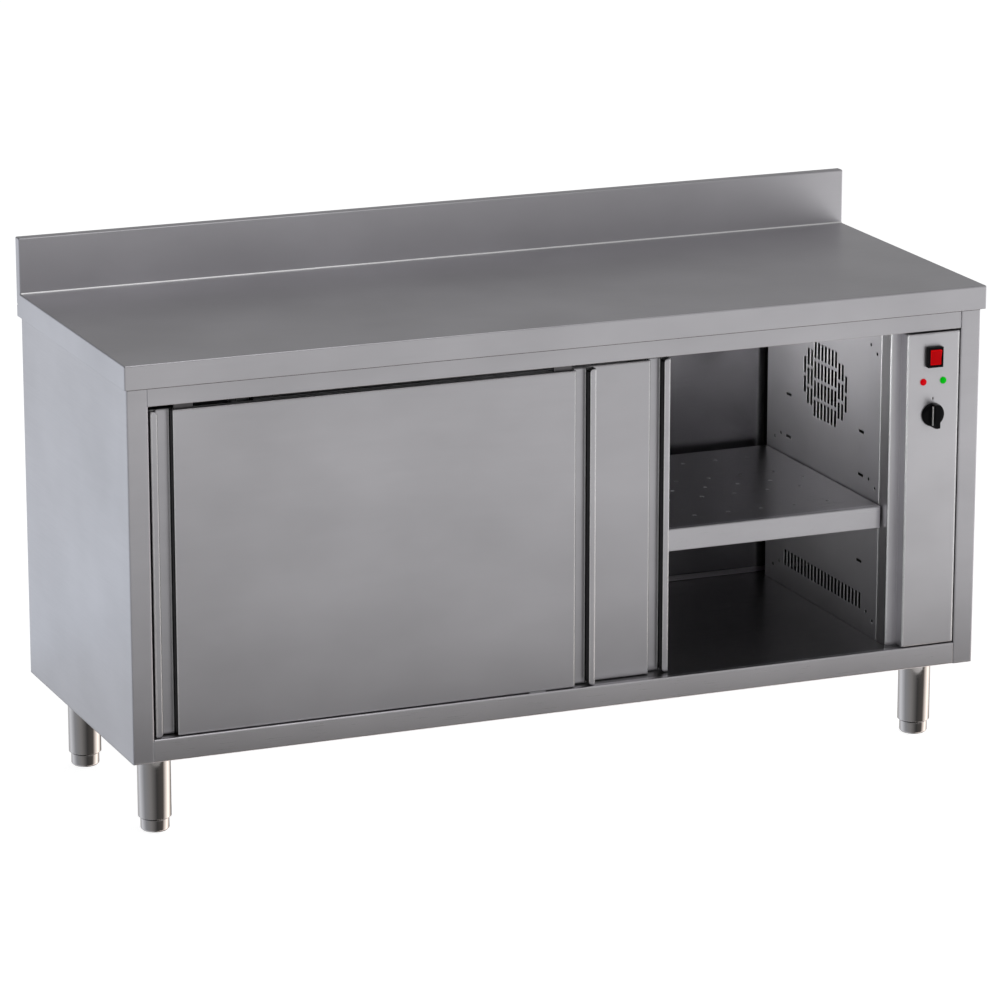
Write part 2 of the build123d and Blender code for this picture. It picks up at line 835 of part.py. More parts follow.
def wheelset_shape(x, middle):
    """Two plain wheels on one axle, either side of a hanger's stem."""
    with BuildPart() as wheelset:
        inner = hanger_thickness / 2 + running_gap
        outer = inner + wheel_width
        with BuildSketch(Plane((x, middle, axle_z), x_dir=(1, 0, 0), z_dir=(0, 0, 1))) as half_section:
            with BuildLine():
                Polyline(
                    (0, -outer),
                    (wheel_radius, -outer),
                    (wheel_radius, -inner),
                    (axle_radius, -inner),
                    (axle_radius, inner),
                    (wheel_radius, inner),
                    (wheel_radius, outer),
                    (0, outer),
                    close=True,
                )
            make_face()
        revolve(half_section.sketch, axis=Axis((x, middle, axle_z), (0, 1, 0)))
    return wheelset


for door, left, face, middle in (
    ("front_door", front_door_left, front_door_y, door_middles[0]),
    ("rear_door", rear_door_left, rear_door_y, door_middles[1]),
):
    save(door_skin_shape(left, face), f"{door}_skin")
    save(door_liner_shape(left, face), f"{door}_liner")
    save(door_hangers_shape(left, middle), f"{door}_hangers")
    for end, offset_x in zip(("left", "right"), hanger_offsets):
        save(wheelset_shape(left + offset_x, middle), f"{door}_wheels_{end}")

# ---------------------------------------------------------------- shelf
shelf_left = -jamb_x + shelf_end_gap
shelf_right = control_x - shelf_end_gap
shelf_x = (shelf_left + shelf_right) / 2
shelf_front = face_y + shelf_front_setback
shelf_rear = back_wall_y - shelf_rear_gap
shelf_y = (shelf_front + shelf_rear) / 2
shelf_columns = int((shelf_right - shelf_left - 2 * shelf_hole_margin) // shelf_hole_pitch) + 1
with BuildPart() as shelf:
    slab((shelf_left, shelf_right), (shelf_front, shelf_rear), (shelf_top - shelf_height, shelf_top))
    fillet(shelf.edges().filter_by(Axis.Z), radius=bend)
    fillet(shelf.edges().group_by(Axis.Z)[-1], radius=bend)
    slab(
        (shelf_left + sheet, shelf_right - sheet),
        (shelf_front + sheet, shelf_rear - sheet),
        (shelf_top - shelf_height + sheet, shelf_top - sheet),
        mode=Mode.SUBTRACT,
    )
    slab(
        (shelf_left + shelf_lip, shelf_right - shelf_lip),
        (shelf_front + shelf_lip, shelf_rear - shelf_lip),
        (shelf_top - shelf_height, shelf_top - shelf_height + sheet),
        mode=Mode.SUBTRACT,
    )
    with BuildSketch(Plane.XY.offset(shelf_top)) as shelf_holes:
        with Locations((shelf_x, shelf_y)):
            with GridLocations(shelf_hole_pitch, shelf_row_pitch, shelf_columns, shelf_rows):
                RegularPolygon(shelf_hole / 2, hole_sides)
            with GridLocations(shelf_hole_pitch, 1, shelf_columns + 1, 1):
                RegularPolygon(shelf_hole / 2, hole_sides)
    extrude(shelf_holes.sketch, amount=2 * sheet, both=True, mode=Mode.SUBTRACT)
save(shelf, "shelf")

with BuildPart() as shelf_rib:
    folded_sheet(
        Plane.YZ.offset(shelf_left + shelf_lip),
        hat_points(shelf_y + shelf_row_pitch / 2, shelf_top - sheet, rib_height),
        Side.RIGHT,
        shelf_right - shelf_left - 2 * shelf_lip,
    )
save(shelf_rib, "shelf_rib")

# Stamped supports, hooked into the wall slots below the shelf's end flanges.
shelf_bottom = shelf_top - shelf_height
support_z = bracket_z[2]
support_width = bracket_slot - bracket_slot_height
support_reach = shelf_end_gap + support_length
with BuildPart() as shelf_supports:
    for x, inward, wall_back in (
        (control_x, -1, control_x + sheet),
        (-jamb_x, 1, -jamb_x - sheet),
    ):
        for y in bracket_y:
            y_limits = (y - support_width / 2, y + support_width / 2)
            tongue = (support_z - tongue_thickness / 2, support_z + tongue_thickness / 2)
            hook_back = wall_back - inward * (tongue_play + tongue_thickness)
            hook_front = wall_back - inward * tongue_play
            slab(sorted((hook_back, x + inward * support_reach)), y_limits, tongue)
            slab(sorted((hook_back, hook_front)), y_limits, (tongue[0] - support_hook, tongue[0]))
            slab(
                sorted((x + inward * shelf_end_gap, x + inward * support_reach)),
                y_limits,
                (tongue[1], shelf_bottom),
            )
            slab(
                sorted((x + inward * tongue_play, x + inward * (tongue_play + tongue_thickness))),
                y_limits,
                (tongue[0] - support_heel, tongue[0]),
            )
save(shelf_supports, "shelf_supports")

# ---------------------------------------------------------------- control panel
panel_rear = step_y
with BuildPart() as control_panel:
    slab((panel_left, panel_right), (face_y, panel_rear), (panel_bottom, panel_top))
    fillet(control_panel.edges().filter_by(Axis.Z).group_by(Axis.Y)[0], radius=bend)
    slab(
        (panel_left + sheet, panel_right - sheet),
        (face_y + sheet, panel_rear),
        (panel_bottom + sheet, panel_top - sheet),
        mode=Mode.SUBTRACT,
    )
    with BuildSketch(Plane.XZ.offset(-face_y)) as panel_cuts:
        with Locations((panel_x, switch_height)):
            Rectangle(bezel_width - 2 * bezel_lap, bezel_height - 2 * bezel_lap)
        with Locations(
            (panel_x - lamp_spacing / 2, lamp_height),
            (panel_x + lamp_spacing / 2, lamp_height),
        ):
            Circle(lamp_shank / 2 + cut_play)
        with Locations((panel_x, knob_height)):
            Circle(spindle_opening / 2)
    extrude(panel_cuts.sketch, amount=-2 * sheet, mode=Mode.SUBTRACT)
    # Index mark pressed into the sheet above the knob.
    with BuildSketch(Plane.XZ.offset(-face_y)) as index_mark:
        with Locations((panel_x, tick_height)):
            SlotOverall(tick_size[0], tick_size[1], rotation=90)
    extrude(index_mark.sketch, amount=-tick_size[2], mode=Mode.SUBTRACT)
save(control_panel, "control_panel")

# Rocker switch: a deep bezel, and a body clipped behind the panel.
rocker_radius = rocker_height / 2
pivot_y = face_y - bezel_depth + rocker_pivot_depth
opening_half_x = rocker_width / 2 + rocker_play
opening_half_z = rocker_height / 2 + rocker_play
switch_body_x = bezel_width / 2 - bezel_lap - cut_play
switch_body_z = bezel_height / 2 - bezel_lap - cut_play
with BuildPart() as switch_housing:
    slab(
        (panel_x - bezel_width / 2, panel_x + bezel_width / 2),
        (face_y - bezel_depth, face_y),
        (switch_height - bezel_height / 2, switch_height + bezel_height / 2),
    )
    chamfer(switch_housing.faces().sort_by(Axis.Y)[0].edges(), length=bezel_chamfer)
    slab(
        (panel_x - switch_body_x, panel_x + switch_body_x),
        (face_y, face_y + switch_body_depth),
        (switch_height - switch_body_z, switch_height + switch_body_z),
    )
    slab(
        (panel_x - opening_half_x, panel_x + opening_half_x),
        (face_y - bezel_depth, pivot_y + rocker_radius),
        (switch_height - opening_half_z, switch_height + opening_half_z),
        mode=Mode.SUBTRACT,
    )
    with Locations(Plane((panel_x, pivot_y, switch_height), z_dir=(1, 0, 0))):
        Cylinder(rocker_pin / 2 + running_fit, 2 * (opening_half_x + pin_seat), mode=Mode.SUBTRACT)
    # Two blade terminals.
    for z in (switch_height - terminal_spacing / 2, switch_height + terminal_spacing / 2):
        slab(
            (panel_x - terminal_size[0] / 2, panel_x + terminal_size[0] / 2),
            (face_y + switch_body_depth, face_y + switch_body_depth + terminal_size[1]),
            (z - terminal_size[2] / 2, z + terminal_size[2] / 2),
        )
save(switch_housing, "switch_housing")

# The rocker's front is a shallow V, so that either half is upright when pressed.
rocker_far = 2 * rocker_radius
rocker_front = pivot_y - rocker_face
rocker_dip = rocker_far * math.tan(math.radians(rocker_tilt / 2))
with BuildPart() as switch_rocker:
    with BuildSketch(Plane.YZ.offset(panel_x - rocker_width / 2)) as rocker_section:
        with Locations((pivot_y, switch_height)):
            Circle(rocker_radius)
        with Locations((pivot_y + rocker_radius, switch_height)):
            Rectangle(2 * (rocker_radius - rocker_back), 2 * rocker_height, mode=Mode.SUBTRACT)
        with BuildLine():
            Polyline(
                (pivot_y - rocker_far, switch_height - rocker_far),
                (rocker_front - rocker_dip, switch_height - rocker_far),
                (rocker_front, switch_height),
                (rocker_front - rocker_dip, switch_height + rocker_far),
                (pivot_y - rocker_far, switch_height + rocker_far),
                close=True,
            )
        make_face(mode=Mode.SUBTRACT)
    extrude(amount=rocker_width)
    with Locations(Plane((panel_x, pivot_y, switch_height), z_dir=(1, 0, 0))):
        Cylinder(rocker_pin / 2, 2 * (opening_half_x + pin_seat - cut_play))
    # At rest its lower half is pressed in.
    rotated = switch_rocker.part.rotate(Axis((panel_x, pivot_y, switch_height), (1, 0, 0)), rocker_tilt / 2)
    add(rotated, mode=Mode.REPLACE)
save(switch_rocker, "switch_rocker")


def lamp_shape(x):
    """Signal lamp: domed lens, shank through the panel, and a nut behind it."""
    with BuildPart() as lamp:
        lamp_plane = Plane((x, face_y, lamp_height), x_dir=(1, 0, 0), z_dir=(0, 0, 1))
        radius = lamp_diameter / 2
        with BuildSketch(lamp_plane) as half_section:
            with BuildLine():
                Polyline(
                    *[(across * radius, -rise * lamp_dome) for across, rise in lamp_crown],
                    (radius, 0),
                    (lamp_shank / 2, 0),
                    (lamp_shank / 2, lamp_depth),
                    (0, lamp_depth),
                    close=True,
                )
            make_face()
        revolve(half_section.sketch, axis=Axis((x, face_y, lamp_height), (0, 1, 0)))
        with BuildSketch(Plane((x, face_y + sheet, lamp_height), z_dir=(0, 1, 0))) as nut:
            RegularPolygon(radius + nut_rim, 6)
        extrude(nut.sketch, amount=lamp_nut)
    return lamp


save(lamp_shape(panel_x - lamp_spacing / 2), "red_lamp")
save(lamp_shape(panel_x + lamp_spacing / 2), "green_lamp")

# Thermostat behind the panel, with a spindle for the knob.
with BuildPart() as thermostat:
    slab(
        (panel_x - thermostat_box[0] / 2, panel_x + thermostat_box[0] / 2),
        (face_y + sheet, face_y + sheet + thermostat_box[1]),
        (knob_height - thermostat_box[2] / 2, knob_height + thermostat_box[2] / 2),
    )
    chamfer(thermostat.edges().filter_by(Axis.Y), length=thermostat_corner)
    spindle_plane = Plane((panel_x, face_y + sheet, knob_height), z_dir=(0, -1, 0))
    with Locations(spindle_plane.offset(spindle_length / 2)):
        Cylinder(spindle_diameter / 2, spindle_length)
save(thermostat, "thermostat")

knob_back = face_y - knob_gap
knob_radius = knob_diameter / 2
strip_limits = (knob_back - strip_rise - strip_width, knob_back - strip_rise)
strip_ends = (knob_height - strip_length / 2, knob_height + strip_length / 2)
strip_sides = [
    sorted((panel_x + side * (knob_bar / 2 - strip_depth), panel_x + side * knob_bar / 2))
    for side in (-1, 1)
]
with BuildPart() as thermostat_knob:
    knob_plane = Plane((panel_x, knob_back, knob_height), x_dir=(1, 0, 0), z_dir=(0, -1, 0))
    with BuildSketch(knob_plane) as skirt:
        Circle(knob_radius)
    extrude(amount=knob_skirt, taper=knob_taper)
    # The grip runs right across the skirt, and its ends follow the skirt's rim.
    with BuildSketch(knob_plane) as grip:
        Circle(knob_radius)
        Rectangle(knob_bar, knob_diameter, mode=Mode.INTERSECT)
    extrude(amount=knob_proud)
    chamfer(thermostat_knob.faces().sort_by(Axis.Y)[0].edges(), length=knob_chamfer)
    with BuildSketch(knob_plane) as bore:
        Circle(spindle_diameter / 2 + running_fit)
    extrude(amount=spindle_length - sheet - knob_gap + running_gap, mode=Mode.SUBTRACT)
    for side_limits in strip_sides:
        slab(side_limits, strip_limits, strip_ends, mode=Mode.SUBTRACT)
save(thermostat_knob, "thermostat_knob")

with BuildPart() as knob_line:
    for side_limits in strip_sides:
        slab(side_limits, strip_limits, strip_ends)
save(knob_line, "knob_line")

# ---------------------------------------------------------------- heated air: fan, ring heater, shield
spacer_pitch = fan_plate_size - 2 * spacer_inset
impeller_front = fan_plate_x - impeller_gap - impeller_depth
lead_angles = [math.radians(-90 + turn * element_lead_angle) for turn in (-1, 1)]
element_leads = [
    (fan_y + element_radius * math.cos(angle), fan_height + element_radius * math.sin(angle))
    for angle in lead_angles
]

with BuildPart() as fan_plate:
    slab(
        (fan_plate_x, fan_plate_x + worktop_sheet),
        (fan_y - fan_plate_size / 2, fan_y + fan_plate_size / 2),
        (fan_height - fan_plate_size / 2, fan_height + fan_plate_size / 2),
    )
    # Four spacers hold the plate off the inner wall.
    with BuildSketch(Plane.YZ.offset(control_x + sheet)) as spacers:
        with Locations((fan_y, fan_height)):
            with GridLocations(spacer_pitch, spacer_pitch, 2, 2):
                Circle(spacer_diameter / 2)
    extrude(amount=fan_plate_offset)
    with BuildSketch(Plane.YZ.offset(fan_plate_x)) as shaft_hole:
        with Locations((fan_y, fan_height)):
            Circle(shaft_opening / 2)
    extrude(amount=worktop_sheet, mode=Mode.SUBTRACT)
    with BuildSketch(Plane.YZ.offset(fan_plate_x)) as lead_holes:
        with Locations(*element_leads):
            RegularPolygon(element_tube / 2 + running_gap, element_sides)
    extrude(amount=worktop_sheet, mode=Mode.SUBTRACT)
save(fan_plate, "fan_plate")

with BuildPart() as fan_motor:
    motor_x = fan_plate_x + worktop_sheet
    motor_plane = Plane((motor_x, fan_y, fan_height), z_dir=(1, 0, 0))
    with BuildSketch(motor_plane) as flange:
        Circle(motor_diameter / 2 + motor_bevel)
    extrude(amount=motor_flange)
    with BuildSketch(motor_plane.offset(motor_flange)) as stator:
        Circle(motor_diameter / 2)
    extrude(amount=motor_length - motor_flange)
    chamfer(fan_motor.faces().sort_by(Axis.X)[-1].edges(), length=motor_bevel)
    with BuildSketch(motor_plane) as motor_bore:
        Circle(shaft_diameter / 2 + running_fit)
    extrude(amount=motor_length - motor_end_gap, mode=Mode.SUBTRACT)
save(fan_motor, "fan_motor")

impeller_radius = impeller_diameter / 2
with BuildSketch() as blade:
    with BuildLine():
        ThreePointArc(
            (blade_inner_radius, 0),
            (blade_inner_radius + blade_sweep / 2, blade_sweep / 4),
            (impeller_radius - blade_tip_gap, blade_sweep),
        )
        offset(amount=blade_thickness, side=Side.LEFT)
    make_face()

with BuildPart() as fan_impeller:
    hub_plane = Plane((impeller_front, fan_y, fan_height), x_dir=(0, 1, 0), z_dir=(1, 0, 0))
    # Front ring, back plate and hub.
    with BuildSketch(hub_plane) as ring:
        Circle(impeller_radius)
        Circle(blade_inner_radius + ring_overlap, mode=Mode.SUBTRACT)
    extrude(amount=worktop_sheet)
    with BuildSketch(hub_plane.offset(impeller_depth - worktop_sheet)) as plate:
        Circle(impeller_radius)
    extrude(amount=worktop_sheet)
    with BuildSketch(hub_plane.offset(impeller_depth - hub_length)) as hub:
        Circle(hub_diameter / 2)
    extrude(amount=hub_length)
    # Backward-curved blades between the ring and the back plate.
    with BuildSketch(hub_plane.offset(worktop_sheet / 2)) as blades:
        with PolarLocations(0, blade_count):
            add(blade.sketch)
    extrude(amount=impeller_depth - worktop_sheet)
    with BuildSketch(hub_plane.offset(impeller_depth)) as shaft:
        Circle(shaft_diameter / 2)
    extrude(amount=impeller_gap + worktop_sheet + motor_length - motor_end_gap - shaft_end_gap)
save(fan_impeller, "fan_impeller")

element_x = fan_plate_x - element_offset
with BuildPart() as heating_element:
    # A ring of tube around the impeller, open at the bottom, with two straight leads.
    ring_start = math.radians(-90 + element_opening)
    ring_plane = Plane(
        (
            element_x,
            fan_y + element_radius * math.cos(ring_start),
            fan_height + element_radius * math.sin(ring_start),
        ),
        x_dir=(1, 0, 0),
        z_dir=(0, -math.sin(ring_start), math.cos(ring_start)),
    )
    with BuildSketch(ring_plane) as tube:
        RegularPolygon(element_tube / 2, element_sides)
    revolve(
        tube.sketch,
        axis=Axis((element_x, fan_y, fan_height), (1, 0, 0)),
        revolution_arc=360 - 2 * element_opening,
    )
    with BuildSketch(Plane.YZ.offset(element_x)) as leads:
        with Locations(*element_leads):
            RegularPolygon(element_tube / 2, element_sides)
    extrude(amount=element_offset + worktop_sheet + lead_length)
save(heating_element, "heating_element")

clip_front = element_x - element_tube / 2
with BuildPart() as element_clips:
    # Angle clips from the fan plate to the outside of the ring.
    for angle in clip_angles:
        out = (0, math.cos(math.radians(angle)), math.sin(math.radians(angle)))
        reach = element_radius + element_tube / 2
        clip_middle = (0, fan_y + reach * out[1], fan_height + reach * out[2])
        clip_plane = Plane(clip_middle, x_dir=out, z_dir=(1, 0, 0))
        with BuildSketch(clip_plane.offset(clip_front)) as strap:
            Rectangle(worktop_sheet, clip_width, align=(Align.MIN, Align.CENTER))
        extrude(amount=fan_plate_x - clip_front)
        with BuildSketch(clip_plane.offset(fan_plate_x - worktop_sheet)) as tab:
            Rectangle(clip_width, clip_width, align=(Align.MIN, Align.CENTER))
        extrude(amount=worktop_sheet)
save(element_clips, "element_clips")

with BuildPart() as control_baffle:
    folded_sheet(
        Plane.XY.offset(sill),
        (
            (control_x + sheet, baffle_y - baffle_flange),
            (control_x + sheet, baffle_y),
            (jamb_x + wall - sheet - wool_side, baffle_y),
        ),
        Side.RIGHT,
        ceiling - sill,
    )
save(control_baffle, "control_baffle")

# Mains terminal block on the back panel, and the cable entry below it.
block_z = gland_height + block_rise
with BuildPart() as terminal_block:
    slab(
        (gland_x - block_size[0] / 2, gland_x + block_size[0] / 2),
        (back_panel_y - block_size[1], back_panel_y),
        (block_z - block_size[2] / 2, block_z + block_size[2] / 2),
    )
    chamfer(terminal_block.edges().filter_by(Axis.X).group_by(Axis.Y)[0], length=block_chamfer)
    block_front = (gland_x, back_panel_y - block_size[1], block_z)
    with Locations(Plane(block_front, x_dir=(1, 0, 0), z_dir=(0, -1, 0))):
        with GridLocations(block_pitch, 1, block_ways, 1):
            Hole(radius=block_bore / 2, depth=block_bore_depth)
save(terminal_block, "terminal_block")

with BuildPart() as cable_gland:
    gland_plane = Plane((gland_x, back_panel_y + sheet, gland_height), z_dir=(0, 1, 0))
    with BuildSketch(gland_plane) as gland_collar:
        RegularPolygon(radius=gland_hex / 2, side_count=6)
    extrude(amount=gland_collar_length)
    with BuildSketch(gland_plane.offset(gland_collar_length)) as gland_dome:
        Circle(gland_dome_diameter / 2)
    extrude(amount=gland_dome_length, taper=gland_taper)
    with BuildSketch(gland_plane.offset(-sheet)) as neck:
        Circle(gland_neck / 2)
    extrude(amount=sheet)
    with BuildSketch(gland_plane.offset(-sheet - gland_collar_length)) as gland_nut:
        RegularPolygon(radius=gland_hex / 2, side_count=6)
    extrude(amount=gland_collar_length)
    gland_length = 2 * gland_collar_length + gland_dome_length + sheet
    with Locations(gland_plane.offset(gland_collar_length + gland_dome_length)):
        Hole(radius=gland_bore / 2, depth=gland_length)
save(cable_gland, "cable_gland")

# ---------------------------------------------------------------- legs and levelling feet
leg_radius = leg_diameter / 2
for place, (x, y) in leg_places.items():
    with BuildPart() as leg:
        leg_plane = Plane((x, y, 0), x_dir=(1, 0, 0), z_dir=(0, -1, 0))
        with BuildSketch(leg_plane) as leg_section:
            with BuildLine():
                Polyline(
                    (leg_radius, leg_gap),
                    (leg_radius, body_bottom),
                    (stud_diameter / 2, body_bottom),
                    (stud_diameter / 2, body_bottom + stud_length),
                    (0, body_bottom + stud_length),
                    (0, body_bottom - leg_cap),
                    (leg_radius - leg_wall, body_bottom - leg_cap),
                    (leg_radius - leg_wall, leg_gap),
                    close=True,
                )
            make_face()
        revolve(leg_section.sketch, axis=Axis((x, y, 0), (0, 0, 1)))
    save(leg, f"leg_{place}")

with BuildPart() as leg_inserts:
    for x, y in leg_places.values():
        with BuildSketch(Plane((x, y, leg_gap))) as insert:
            Circle(leg_radius - leg_wall)
            Circle(foot_stem / 2 + running_fit, mode=Mode.SUBTRACT)
        extrude(insert.sketch, amount=insert_height)
save(leg_inserts, "leg_inserts")

for place, (x, y) in leg_places.items():
    with BuildPart() as foot:
        foot_plane = Plane((x, y, 0), x_dir=(1, 0, 0), z_dir=(0, -1, 0))
        foot_radius = foot_diameter / 2
        with BuildSketch(foot_plane) as foot_section:
            with BuildLine():
                Polyline(
                    (0, 0),
                    (foot_radius - foot_bevel, 0),
                    (foot_radius, foot_bevel),
                    (foot_radius, foot_height),
                    (foot_stem / 2, foot_height),
                    (foot_stem / 2, foot_height + foot_stem_length),
                    (0, foot_height + foot_stem_length),
                    close=True,
                )
            make_face()
        revolve(foot_section.sketch, axis=Axis((x, y, 0), (0, 0, 1)))
    save(foot, f"foot_{place}")

# ---------------------------------------------------------------- fasteners of the back panel
screw_x = body_side - rear_flange / 2
screw_z = (body_bottom + apron_bottom) / 2
screw_pitch = (apron_bottom - body_bottom - 2 * screw_margin) / (screw_rows - 1)
with BuildPart() as panel_screws:
    # Hexagon heads on the side panels' rear flanges, with their shanks through to the panel.
    screw_plane = Plane((0, body_rear, screw_z), x_dir=(1, 0, 0), z_dir=(0, 1, 0))
    with BuildSketch(screw_plane) as heads:
        with GridLocations(2 * screw_x, screw_pitch, 2, screw_rows):
            RegularPolygon(screw_head / 2, 6)
    extrude(amount=screw_head_height)
save(panel_screws, "panel_screws")
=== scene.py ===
# %% [markdown]
# # A plate warmer cabinet in satin stainless steel
#
# A plate warmer is a heated steel cupboard that stands in a kitchen pass. This lesson dresses
# one in Blender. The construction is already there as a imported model: every sheet, wheel and
# screw at its real size. What is left to make is the look: brushed steel that spreads each
# highlight, polished legs, a moulded knob, two signal lamps and a rocker switch.
#
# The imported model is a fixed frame. It is loaded first, and never moved or reshaped. New pieces
# take their places from it.

# %% Load the frame
import math

import bmesh
import bpy
from mathutils import Matrix, Vector


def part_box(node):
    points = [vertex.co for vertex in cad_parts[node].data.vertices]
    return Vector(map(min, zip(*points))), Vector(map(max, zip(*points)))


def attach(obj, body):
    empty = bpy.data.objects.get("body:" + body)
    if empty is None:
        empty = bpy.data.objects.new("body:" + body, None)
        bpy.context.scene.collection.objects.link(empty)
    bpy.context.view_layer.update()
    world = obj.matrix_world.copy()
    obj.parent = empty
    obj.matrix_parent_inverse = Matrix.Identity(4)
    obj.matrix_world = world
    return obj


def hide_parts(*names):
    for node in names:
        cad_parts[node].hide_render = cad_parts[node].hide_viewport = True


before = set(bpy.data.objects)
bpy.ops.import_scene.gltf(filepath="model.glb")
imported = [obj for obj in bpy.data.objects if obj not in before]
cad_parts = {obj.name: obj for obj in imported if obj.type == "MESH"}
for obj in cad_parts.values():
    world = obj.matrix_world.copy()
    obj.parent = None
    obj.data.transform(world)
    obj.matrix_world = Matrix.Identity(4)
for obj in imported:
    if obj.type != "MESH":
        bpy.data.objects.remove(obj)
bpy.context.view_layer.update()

# %% [markdown]
# ## The camera
#
# The view is a long lens from the front left, looking down a little. A long lens keeps the
# upright edges almost parallel, which is how catalogue pictures of steel furniture are taken.
# The small shift of the lens lowers the picture without tilting the camera further.

# %% Camera
CAMERA_PLACE = Vector((-3.2940, -7.9808, 2.7968))
CAMERA_DOWN = math.radians(15.62)
CAMERA_TURN = math.radians(22.35)
LENS_LENGTH = 180.88
LENS_SHIFT = (0.0035, 0.0445)
SENSOR_WIDTH = 36.0

camera_data = bpy.data.cameras.new("camera")
camera_data.lens = LENS_LENGTH
camera_data.sensor_width = SENSOR_WIDTH
camera_data.shift_x, camera_data.shift_y = LENS_SHIFT
camera = bpy.data.objects.new("camera", camera_data)
camera.location = CAMERA_PLACE
camera.rotation_euler = (math.pi / 2 - CAMERA_DOWN, 0.0, -CAMERA_TURN)
bpy.context.scene.collection.objects.link(camera)
bpy.context.scene.camera = camera
bpy.context.scene.view_settings.view_transform = "Standard"
print("camera at", tuple(round(v, 2) for v in camera.location))

# %% [markdown]
# ## Helpers for shader nodes
#
# The light and the finishes are both drawn with nodes, and both need the same few steps: a sum
# on a number, a vector taken apart, a number brought to a new range, two colours mixed. Each
# step gets a short function that adds its nodes and hands back what comes out, so that a finish
# can be read as a list of what happens to it.

# %% Helpers that work on numbers and vectors
X, Y, Z = 0, 1, 2


def feed(links, value, target):
    """Give an input a number, a colour or another node's output."""
    if isinstance(value, bpy.types.NodeSocket):
        links.new(value, target)
    elif isinstance(value, tuple):
        target.default_value = (*value, 1.0)
    else:
        target.default_value = value


def measured(nodes, links, operation, first, second=0.0):
    """One math step on a socket and either a number or another socket."""
    step = nodes.new("ShaderNodeMath")
    step.operation = operation
    links.new(first, step.inputs[0])
    feed(links, second, step.inputs[1])
    return step.outputs["Value"]


def split(nodes, links, vector):
    """The X, Y and Z of a vector."""
    parts = nodes.new("ShaderNodeSeparateXYZ")
    links.new(vector, parts.inputs["Vector"])
    return parts.outputs


def sizes_of(nodes, links, vector, axes):
    """How long a vector reaches along some axes, whatever its direction."""
    parts = split(nodes, links, vector)
    return [measured(nodes, links, "ABSOLUTE", parts[axis]) for axis in axes]


def ranged(nodes, links, source, low, high, from_low=0.3, from_high=0.7):
    """Bring a value to another range; without a range of its own it is taken for noise."""
    node = nodes.new("ShaderNodeMapRange")
    node.inputs["From Min"].default_value = from_low
    node.inputs["From Max"].default_value = from_high
    node.inputs["To Min"].default_value = low
    node.inputs["To Max"].default_value = high
    links.new(source, node.inputs["Value"])
    return node.outputs["Result"]


print("axes", (X, Y, Z))

# %% [markdown]
# A mask is a number from 0 to 1 that says which of two looks a point gets. The mix nodes read
# it: one kind mixes two colours, the other two whole shaders.

# %% Helpers that mix
def mixed(nodes, links, factor, first, second):
    """Mix two colours by a value."""
    mix = nodes.new("ShaderNodeMix")
    mix.data_type = "RGBA"
    feed(links, first, mix.inputs["A"])
    feed(links, second, mix.inputs["B"])
    links.new(factor, mix.inputs["Factor"])
    return mix.outputs["Result"]


def mixed_shaders(nodes, links, factor, first, second):
    """Choose between two shaders by a value."""
    mix = nodes.new("ShaderNodeMixShader")
    for value, target in zip((factor, first, second), mix.inputs):
        links.new(value, target)
    return mix.outputs["Shader"]


print("helpers:", mixed.__name__, mixed_shaders.__name__)

# %% [markdown]
# ## A room for steel to reflect
#
# Brushed steel has hardly any colour of its own: what it shows is the room. So the light is
# planned as a room, by the points of the compass. Left of the cabinet is cool daylight, right of
# it a bright wall that is warm low down, and in front, where a photographer would stand, it is
# dark. Black and white cards are set round a polished thing in the same way.
#
# Two helpers turn such a plan into nodes. A radial gradient gives the direction as a number from
# 0 to 1, a colour ramp holds one colour for each of eight directions, and a second number, the
# height or the distance, blends from one ramp to the next.

# %% Compass ramps
COMPASS = ("left", "front_left", "front", "front_right", "right", "back_right", "back", "back_left")


def compass_ramp(nodes, links, vector, colours):
    """A colour for each of eight directions round Z, blended between neighbours."""
    turn = nodes.new("ShaderNodeTexGradient")
    turn.gradient_type = "RADIAL"
    links.new(vector, turn.inputs["Vector"])
    ramp = nodes.new("ShaderNodeValToRGB")
    stops = ramp.color_ramp.elements
    while len(stops) < len(COMPASS) + 1:
        stops.new(0.5)
    for index in range(len(COMPASS) + 1):
        stops[index].position = index / len(COMPASS)
        stops[index].color = (*colours[index % len(COMPASS)], 1.0)
    links.new(turn.outputs["Fac"], ramp.inputs["Fac"])
    return ramp.outputs["Color"]


def compass_plan(nodes, links, vector, measure, plan):
    """Compass ramps at several heights or distances, blended by a measured number."""
    result = compass_ramp(nodes, links, vector, plan[0][1])
    for (low, _), (high, colours) in zip(plan, plan[1:]):
        share = ranged(nodes, links, measure, 0.0, 1.0, low, high)
        result = mixed(nodes, links, share, result, compass_ramp(nodes, links, vector, colours))
    return result


print("directions in a plan:", ", ".join(COMPASS))

# %% [markdown]
# ## The plans of the room and of the floor
#
# A plan is a list of levels. Each starts with its place, which is a height for the room, from
# -1 straight down to 1 straight up, and a distance in metres for the floor. Then come eight
# brightnesses in the order of the compass. The lowest level of the room is what the round legs
# show, and there the right side is brightest and the front nearly black.

# %% Plans of the room and of the floor
WHITE = (1.0, 1.0, 1.0)
COOL = (0.92, 0.97, 1.04)
WARM = (1.08, 1.0, 0.93)


def lit(*levels, right=WHITE):
    """Eight tinted colours from eight brightness levels, in compass order."""
    tints = (COOL, WHITE, WHITE, right, right, right, WHITE, COOL)
    return [tuple(level * part for part in tint) for level, tint in zip(levels, tints)]


